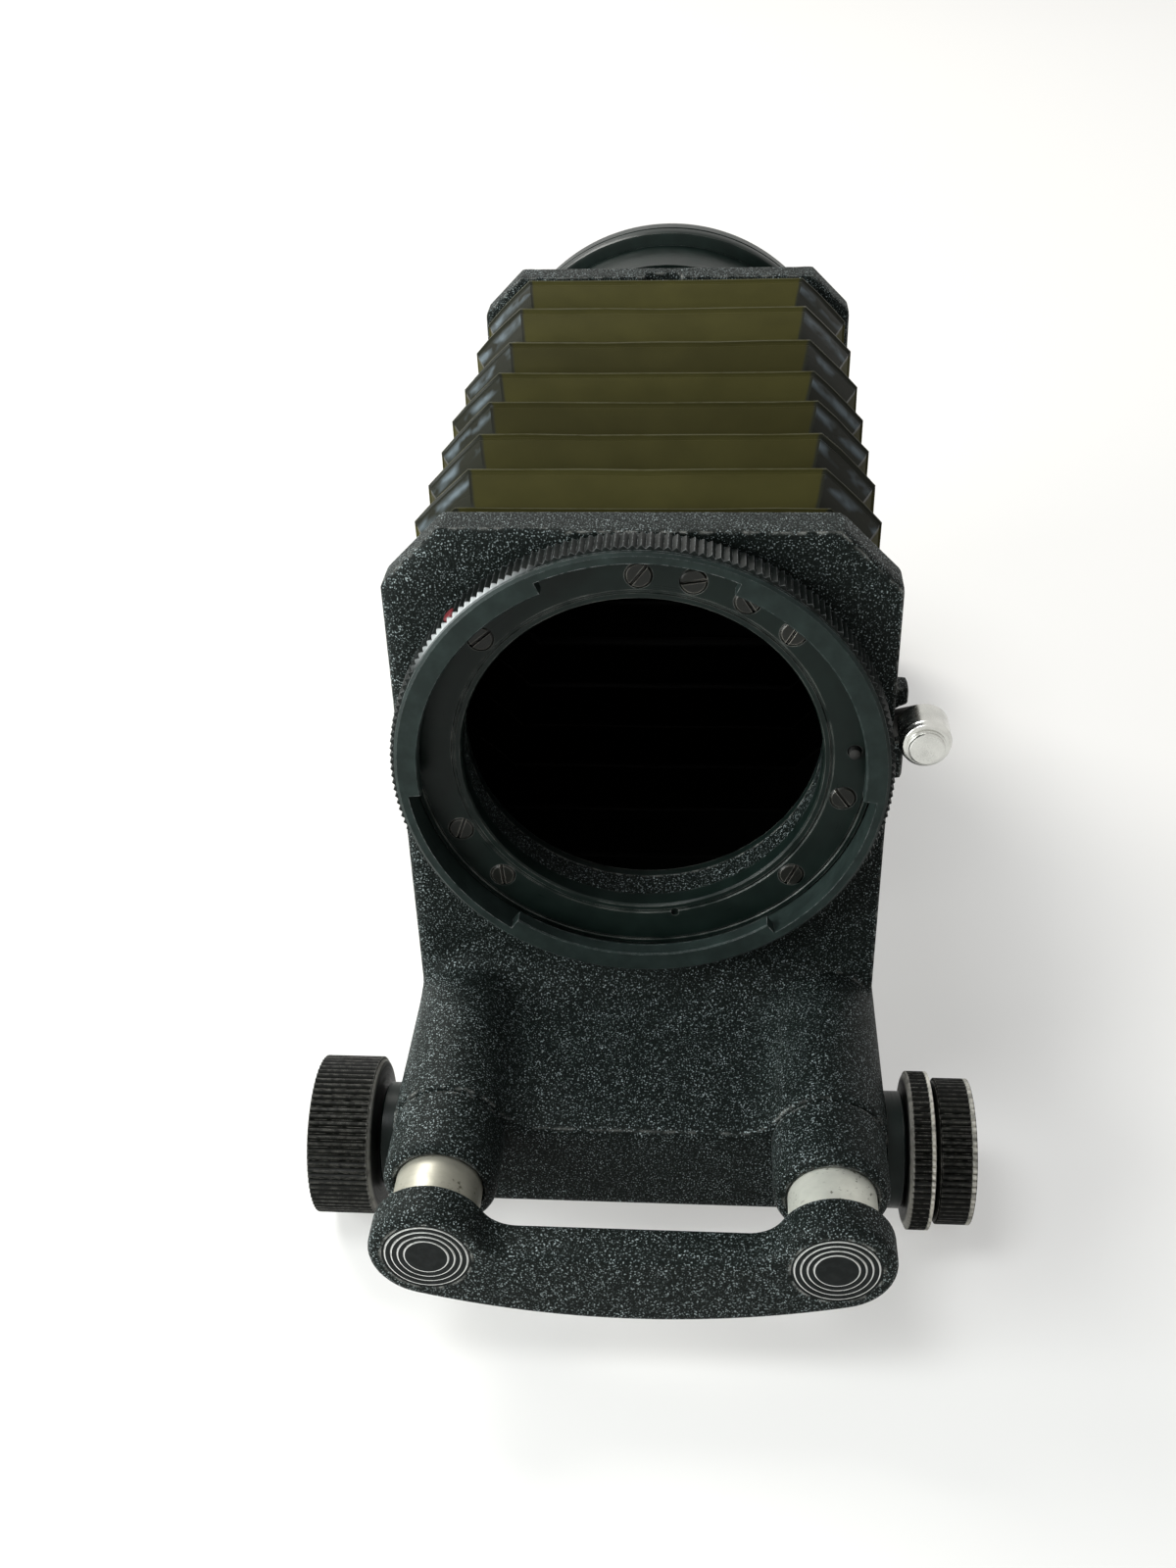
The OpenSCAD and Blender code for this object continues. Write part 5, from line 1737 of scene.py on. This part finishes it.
    def build(self, flange: bpy.types.Material, ring: bpy.types.Material, screw: bpy.types.Material,
              red: bpy.types.Material, chrome: bpy.types.Material) -> None:
        """Makes the mount.

        Args:
            flange: The flange's finish.
            ring: The lock ring's finish.
            screw: The screws' finish.
            red: The index dot's finish.
            chrome: The button's finish.
        """
        self.flange(flange)
        self.screws(screw)
        self.lock_ring(ring, red)
        self.button(chrome)
        steel = BareMetal("release_steel", Axis.Y, (0, 0, 0), self.dark_steel, 0.45, "steel_screw").make()
        self.arm(steel)
        self.spring(steel)


@dataclass
class Bellows:
    """The pleated bellows, drawn as two halves that meet at a fixed plane in its middle.

    Lengths are in millimetres. The cloth's coordinates run along uv_r times the angle. From the spare share of
    each half's length a reach past its ends is worked out, but nothing uses it.
    """

    valley: float = 24.9
    depth: float = 2.9
    valley_cut: float = 5.0
    crest_cut: float = 6.8
    cloth: float = 0.5
    pull: float = 0.28
    wave: float = 0.16
    uv_r: float = 27.5
    uv_shift: float = 0.1
    spare: float = 0.065
    # Painted shade for each band between crests, for its tilt: lower values are darker.
    tones: tuple[float, ...] = (0.7, 0.85, 0.6, 0.45, 0.75, 0.5, 0.9, 1.0, 1.0)
    front_crests: tuple[float, ...] = (7.7, 18.8, 29.6, 40.5)
    rear_crests: tuple[float, ...] = (51.3, 63.8, 78.8, 92.6)
    ends: tuple[float, float, float] = (5.4, 45.95, 97.6)
    rise: tuple[Point, ...] = ((0.0, 0.0), (0.05, 0.02), (0.13, 0.15), (0.3, 0.335), (0.5, 0.54), (0.7, 0.73),
                               (0.84, 0.85), (0.88, 0.83), (0.94, 0.9), (0.97, 0.985))
    fall: tuple[Point, ...] = ((0.0, 1.0), (0.03, 0.985), (0.07, 0.9), (0.13, 0.84), (0.3, 0.72), (0.5, 0.52),
                               (0.7, 0.32), (0.87, 0.15), (0.95, 0.03))

    def sections(self, start: float, crests: Sequence[float], end: float) -> list[Point]:
        """Gives each section's place along the lens axis and its height between valley and crest.

        Args:
            start: Where the half starts along the lens axis.
            crests: Where its crests are.
            end: Where it ends.

        Returns:
            The sections.
        """
        made: list[Point] = []
        low = start
        for number, crest in enumerate(crests):
            high = end if number == len(crests) - 1 else (crest + crests[number + 1]) / 2
            made += [(low + f * (crest - low), t) for f, t in self.rise]
            made += [(crest + f * (high - crest), t) for f, t in self.fall]
            low = high
        return made + [(end, 0.0)]

    def loop(self, y: float, t: float) -> list[Place]:
        """Walks once round one section, from the middle of its under side.

        Args:
            y: The section's place along the lens axis.
            t: Its height between valley and crest.

        Returns:
            The points.
        """
        half, cut = self.valley + self.depth * t, self.valley_cut + (self.crest_cut - self.valley_cut) * t
        flat = half - cut
        corners = [(0, -half), (flat, -half), (half, -flat), (half, flat), (flat, half), (-flat, half), (-half, flat),
                   (-half, -flat), (-flat, -half), (0, -half)]
        bevel = (0.0, 1 / 3, 2 / 3)
        side = (0.0, 0.015, 0.14, 0.32, 0.5, 0.68, 0.86, 0.985)
        steps = ((0.0, 0.3, 0.6, 0.97), bevel, side, bevel, side, bevel, side, bevel, (0.0, 0.03, 0.4, 0.7))
        made: list[Place] = []
        for (x0, z0), (x1, z1), places in zip(corners, corners[1:], steps):
            for s in places:
                x, z = x0 + (x1 - x0) * s, z0 + (z1 - z0) * s
                pull = self.pull * math.sin(math.pi * s) * (2.0 * (0.5 - t) if places is bevel else 1)
                wave = self.wave * noise.noise(Vector((x * 0.16, y * 0.35, z * 0.16)))
                wave *= 0.3 + 0.7 * min(1, abs(y - MID_Y) / 3)
                k = 1 - (pull * 0.45 - wave) / half
                made.append((x * k, y, z * k))
        return made

    def half_tube(self, name: str, start: float, crests: Sequence[float], end: float) -> Blank:
        """Draws one half, section after section, and gives it its thickness.

        Args:
            name: The half's name.
            start: Where it starts along the lens axis.
            crests: Where its crests are.
            end: Where it ends.

        Returns:
            The half.
        """
        sections = self.sections(start, crests, end)
        tube = Blank.lofted(name, [self.loop(y, t) for y, t in sections], closed=False)
        tube.placed()
        self.mark(tube, sections)
        return tube

    def mark(self, tube: Blank, sections: Sequence[Point]) -> None:
        """Notes on each point its fold, painted band shade and corner, and lays the cloth's own coordinates on the
        skin.

        Args:
            tube: The half.
            sections: Its sections.
        """
        mesh = tube.object.data
        fold, tone, corner = (mesh.attributes.new(name, "FLOAT", "POINT") for name in CLOTH_MARKS)
        crests = (*self.front_crests, *self.rear_crests)
        for v in mesh.vertices:
            x, y, z = v.co / MM
            t = min(sections, key=lambda section: abs(section[0] - y))[1]
            fold.data[v.index].value = t
            flat = self.valley + self.depth * t - self.valley_cut - (self.crest_cut - self.valley_cut) * t
            corner.data[v.index].value = float(min(abs(x), abs(z)) > flat - 0.5)
            ahead = sum(crest < y - 0.05 for crest in crests)
            # Each band between crests gets its painted shade.
            tone.data[v.index].value = self.tones[min(ahead, len(self.tones) - 1)]
        layer = mesh.uv_layers.new(name="cloth")
        for face in mesh.polygons:
            for loop in face.loop_indices:
                co = mesh.vertices[mesh.loops[loop].vertex_index].co
                turn = math.atan2(co.x, co.z)
                if face.center.z < 0 and turn * face.center.x < 0:
                    turn += math.copysign(math.tau, face.center.x)
                elif face.center.z < 0 and abs(co.x) < 1e-6:
                    turn = math.copysign(math.pi, face.center.x)
                layer.data[loop].uv = (turn * self.uv_r * MM + self.uv_shift, co.y)

    def build(self, cloth: bpy.types.Material, lining: bpy.types.Material) -> None:
        """Makes both halves, each between its standard and the middle.

        Args:
            cloth: The outer finish.
            lining: The dull black inside.
        """
        start, middle, end = self.ends
        halves = (("bellows_front_skin", start, self.front_crests, middle, "bellows_front_half", "front_standard"),
                  ("bellows_rear_skin", middle, self.rear_crests, end, "bellows_rear_half", "rear_standard"))
        for name, low, crests, high, node, body in halves:
            tube = self.half_tube(name, low, crests, high)
            tube.object.data.materials.append(cloth)
            tube.object.data.materials.append(lining)
            tube.modify("SOLIDIFY", thickness=self.cloth * MM, offset=-1, use_even_offset=False, material_offset=1,
                        material_offset_rim=0)
            tube.rest()
            bpy.ops.object.shade_smooth_by_angle(angle=math.radians(24))
            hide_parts(node)
            reach = (high - low) * self.spare
            ends = (at((0, low - reach, 0)), at((0, high + reach, 0)))
            bodies = (body, "rails") if body == "front_standard" else ("rails", body)
            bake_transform(tube.object)
            LOG.info("%s bends between %s and %s", name, *bodies)


@dataclass
class CameraMount:
    """The neck behind the rear plate with the ring and the spigot that go into the camera."""

    plate_y: float = 103.0
    neck_r: float = 27.0
    ring_y: float = 114.0
    seat_y: float = 120.0
    ring_r: float = 29.1
    seat_r: float = 26.5

    def build(self, finish: bpy.types.Material) -> None:
        """Makes the neck and the ring.

        Args:
            finish: Their black finish.
        """
        y0, y1, y2 = self.plate_y, self.ring_y, self.seat_y
        Blank.turned("rear_neck_skin", Axis.Y, (0, 0), [
            (LIGHT_R, y0), (self.neck_r, y0), (self.neck_r, y1), (LIGHT_R, y1)], 160).finish(
                "rear_standard", "black_anodised", finish, ["rear_neck"])
        r = self.ring_r
        Blank.turned("camera_ring_skin", Axis.Y, (0, 0), [
            (LIGHT_R, y1), (r - 0.6, y1), (r - 0.18, y1 + 0.18), (r, y1 + 0.6), (r, y1 + 2.3), (r - 0.3, y1 + 2.5),
            (r - 0.3, y1 + 2.9), (r, y1 + 3.1), (r, y2 - 0.6), (r - 0.18, y2 - 0.18), (r - 0.6, y2),
            (self.seat_r + 0.15, y2), (self.seat_r + 0.02, y2 - 0.15), (self.seat_r + 0.02, y2 - 1.4),
            (LIGHT_R, y2 - 1.4)], 192).finish("rear_standard", "black_anodised", finish, ["camera_ring"])


@dataclass
class TripodBlock:
    """The fixed block under the rods with its foot for a tripod."""

    start: float = 40.5
    end: float = 62.5
    sleeve_r: float = 6.8
    web: float = 9.5
    foot_z: float = -56.5
    foot: float = 15.0
    pad: float = 18.0
    pad_t: float = 6.0
    bore_r: float = 5.02
    grub_r: float = 2.05
    bush: float = 8.0

    def build(self, enamel: bpy.types.Material) -> None:
        """Makes the block.

        Args:
            enamel: Its finish.
        """
        x, z = ROD
        low = z - self.sleeve_r
        web_top = low + self.web
        rise = math.degrees(math.asin((web_top - z) / self.sleeve_r))
        right = arc((x, z), self.sleeve_r, -90, 180 - rise, 40)
        pad_top = self.foot_z + self.pad_t
        side = [(self.pad, self.foot_z), (self.pad, pad_top), (self.foot, pad_top), (self.foot, low), *right]
        outline = [*side, *[(-p, q) for p, q in reversed(side)]]
        block = Blank.plate("tripod_block_skin", outline, self.start, self.end)
        block.eased(0.8, 4, 40)
        for at_x in (-x, x):
            block.cut(Blank.drum("sleeve_bore", Axis.Y, self.bore_r, self.start - 1, self.end + 1, (at_x, z), 96))
            block.cut(Blank.drum("grub_bore", Axis.Z, self.grub_r, low - 1, z, (at_x, MID_Y), 32))
        block.cut(Blank.drum("bush_bore", Axis.Z, self.bore_r, self.foot_z - 1, self.foot_z + self.bush,
                             (0, MID_Y), 64))
        block.finish("rails", "crinkle_black", enamel, ["tripod_block"])


@dataclass
class KeptPieces:
    """The small pieces that keep their own turned shapes: each gets a finish laid round its own axle."""

    rod_shine: float = 0.42
    rod_dirt: float = 0.8
    rod_metal: float = 0.55
    # Painted shade: the left rod's chrome is a darker copy of the right rod's.
    left_chrome: Colour = (0.32, 0.31, 0.255)
    right_chrome: Colour = (0.60, 0.60, 0.53)

    def rod(self, name: str, side: int, chrome: Colour) -> BareMetal:
        """Gives one rod's finish, dulled and specked by handling.

        Args:
            name: The finish's name.
            side: -1 for the left rod, 1 for the right one.
            chrome: Its colour.

        Returns:
            The finish.
        """
        return BareMetal(name, Axis.Y, (side * ROD[0], 0, ROD[1]), chrome, self.rod_shine, "satin_chrome",
                         dirt=self.rod_dirt, metal=self.rod_metal)

    def finishes(self) -> dict[str, bpy.types.Material]:
        """Makes one finish for each kind of piece.

        Returns:
            The finishes by the nodes' names.
        """
        lens = (0, 0, 0)
        kinds = {
            ("rod_left",): self.rod("rod_chrome_left", -1, self.left_chrome),
            ("rod_right",): self.rod("rod_chrome_right", 1, self.right_chrome),
            ("bar_caps_front", "bar_caps_rear"): RingedCap("ringed_cap", ROD[0], ROD[1]),
            ("camera_spigot",): BareMetal("spigot_chrome", Axis.Y, lens, (0.58, 0.58, 0.56), 0.2, "bright_chrome"),
            ("camera_spigot_screws",): BareMetal("spigot_screw_steel", Axis.Y, lens, STEEL, 0.3, "steel_screw"),
            ("front_pinion_shaft",): BareMetal("pinion_steel_front", Axis.X, (0, *SHAFT), STEEL, 0.3, "steel"),
            ("rear_pinion_shaft",): BareMetal("pinion_steel_rear", Axis.X, (0, *REAR_SHAFT), STEEL, 0.3, "steel"),
            ("tripod_bush",): BareMetal("tripod_bush_brass", Axis.Z, (0, MID_Y, 0), BRASS, 0.28, "brass_bush"),
        }
        made = {names: kind.make() for names, kind in kinds.items()}
        return {name: material for names, material in made.items() for name in names}

    def build(self) -> None:
        """Dresses the pieces."""
        for name, material in self.finishes().items():
            for slot in NODES[name].material_slots:
                slot.material = material


@dataclass
class Palette:
    """The finishes that several pieces share, by the slot that they fill."""

    def finishes(self) -> dict[str, bpy.types.Material]:
        """Makes them.

        Returns:
            The finishes by their slots.
        """
        lens, rod = (0, 0, 0), (ROD[0], 0, ROD[1])
        ring = RidgedAnodised("anodised_lock_ring", Axis.Y, lens, LensMount.ring_r, rubbed_arc=(112, 152), tip=0.03,
                              base=(0.0110, 0.0165, 0.0150), bare=(0.50, 0.52, 0.52), shine=0.46)
        screw = Anodised("blacked_screw", Axis.Y, lens, (0.0060, 0.0064, 0.0050), 0.34, (0.36, 0.34, 0.30), 1.0,
                         slot="black_screw", gloss=0.22)
        return {finish.slot: finish.make() for finish in (
            CrinkleEnamel(), Anodised("anodised_lens_axis", Axis.Y, lens), ring, screw,
            RingedCap("ringed_cap_plain", ROD[0], ROD[1]),
            BareMetal("satin_chrome", Axis.Y, rod, (0.55, 0.545, 0.48), 0.36, "satin_chrome"),
            BareMetal("bright_chrome", Axis.Y, (32, 0, 4), (0.60, 0.60, 0.57), 0.22, "bright_chrome", 0.25, 0.01),
            BareMetal("screw_steel", Axis.Y, lens, STEEL, 0.36, "steel_screw"),
            BareMetal("bush_brass", Axis.Y, rod, BRASS, 0.3, "brass_bush"),
            BellowsCloth(), RedEnamel())}

    def build(self) -> dict[str, bpy.types.Material]:
        """Dresses every node of the frame by its slot.

        Returns:
            The finishes by their slots.
        """
        made = self.finishes()
        for name, node in NODES.items():
            old = node.data.materials[0].name if node.data.materials else ""
            match = next((finish for slot, finish in made.items() if old.startswith(slot)), None)
            if match is None:
                LOG.info("no finish for %s (%s)", name, old)
                continue
            for slot in node.material_slots:
                slot.material = match
        return made


def main() -> None:
    """Builds everything in order."""
    logging.basicConfig(level=logging.INFO, format="%(name)s: %(message)s")
    deselect()
    Studio().build()
    made = Palette().build()
    KeptPieces().build()
    enamel = made["crinkle_black"]
    Castings().build(enamel)
    Collars().build(enamel)
    EndBars().build(enamel)
    Drive().build()
    LensMount().build(made["black_anodised"], made["black_knurl"], made["black_screw"], made["red_enamel"],
                      made["bright_chrome"])
    Bellows().build(made["bellows_cloth"], Lining().make())
    CameraMount().build(made["black_anodised"])
    TripodBlock().build(enamel)


if __name__ == "__main__":
    main()
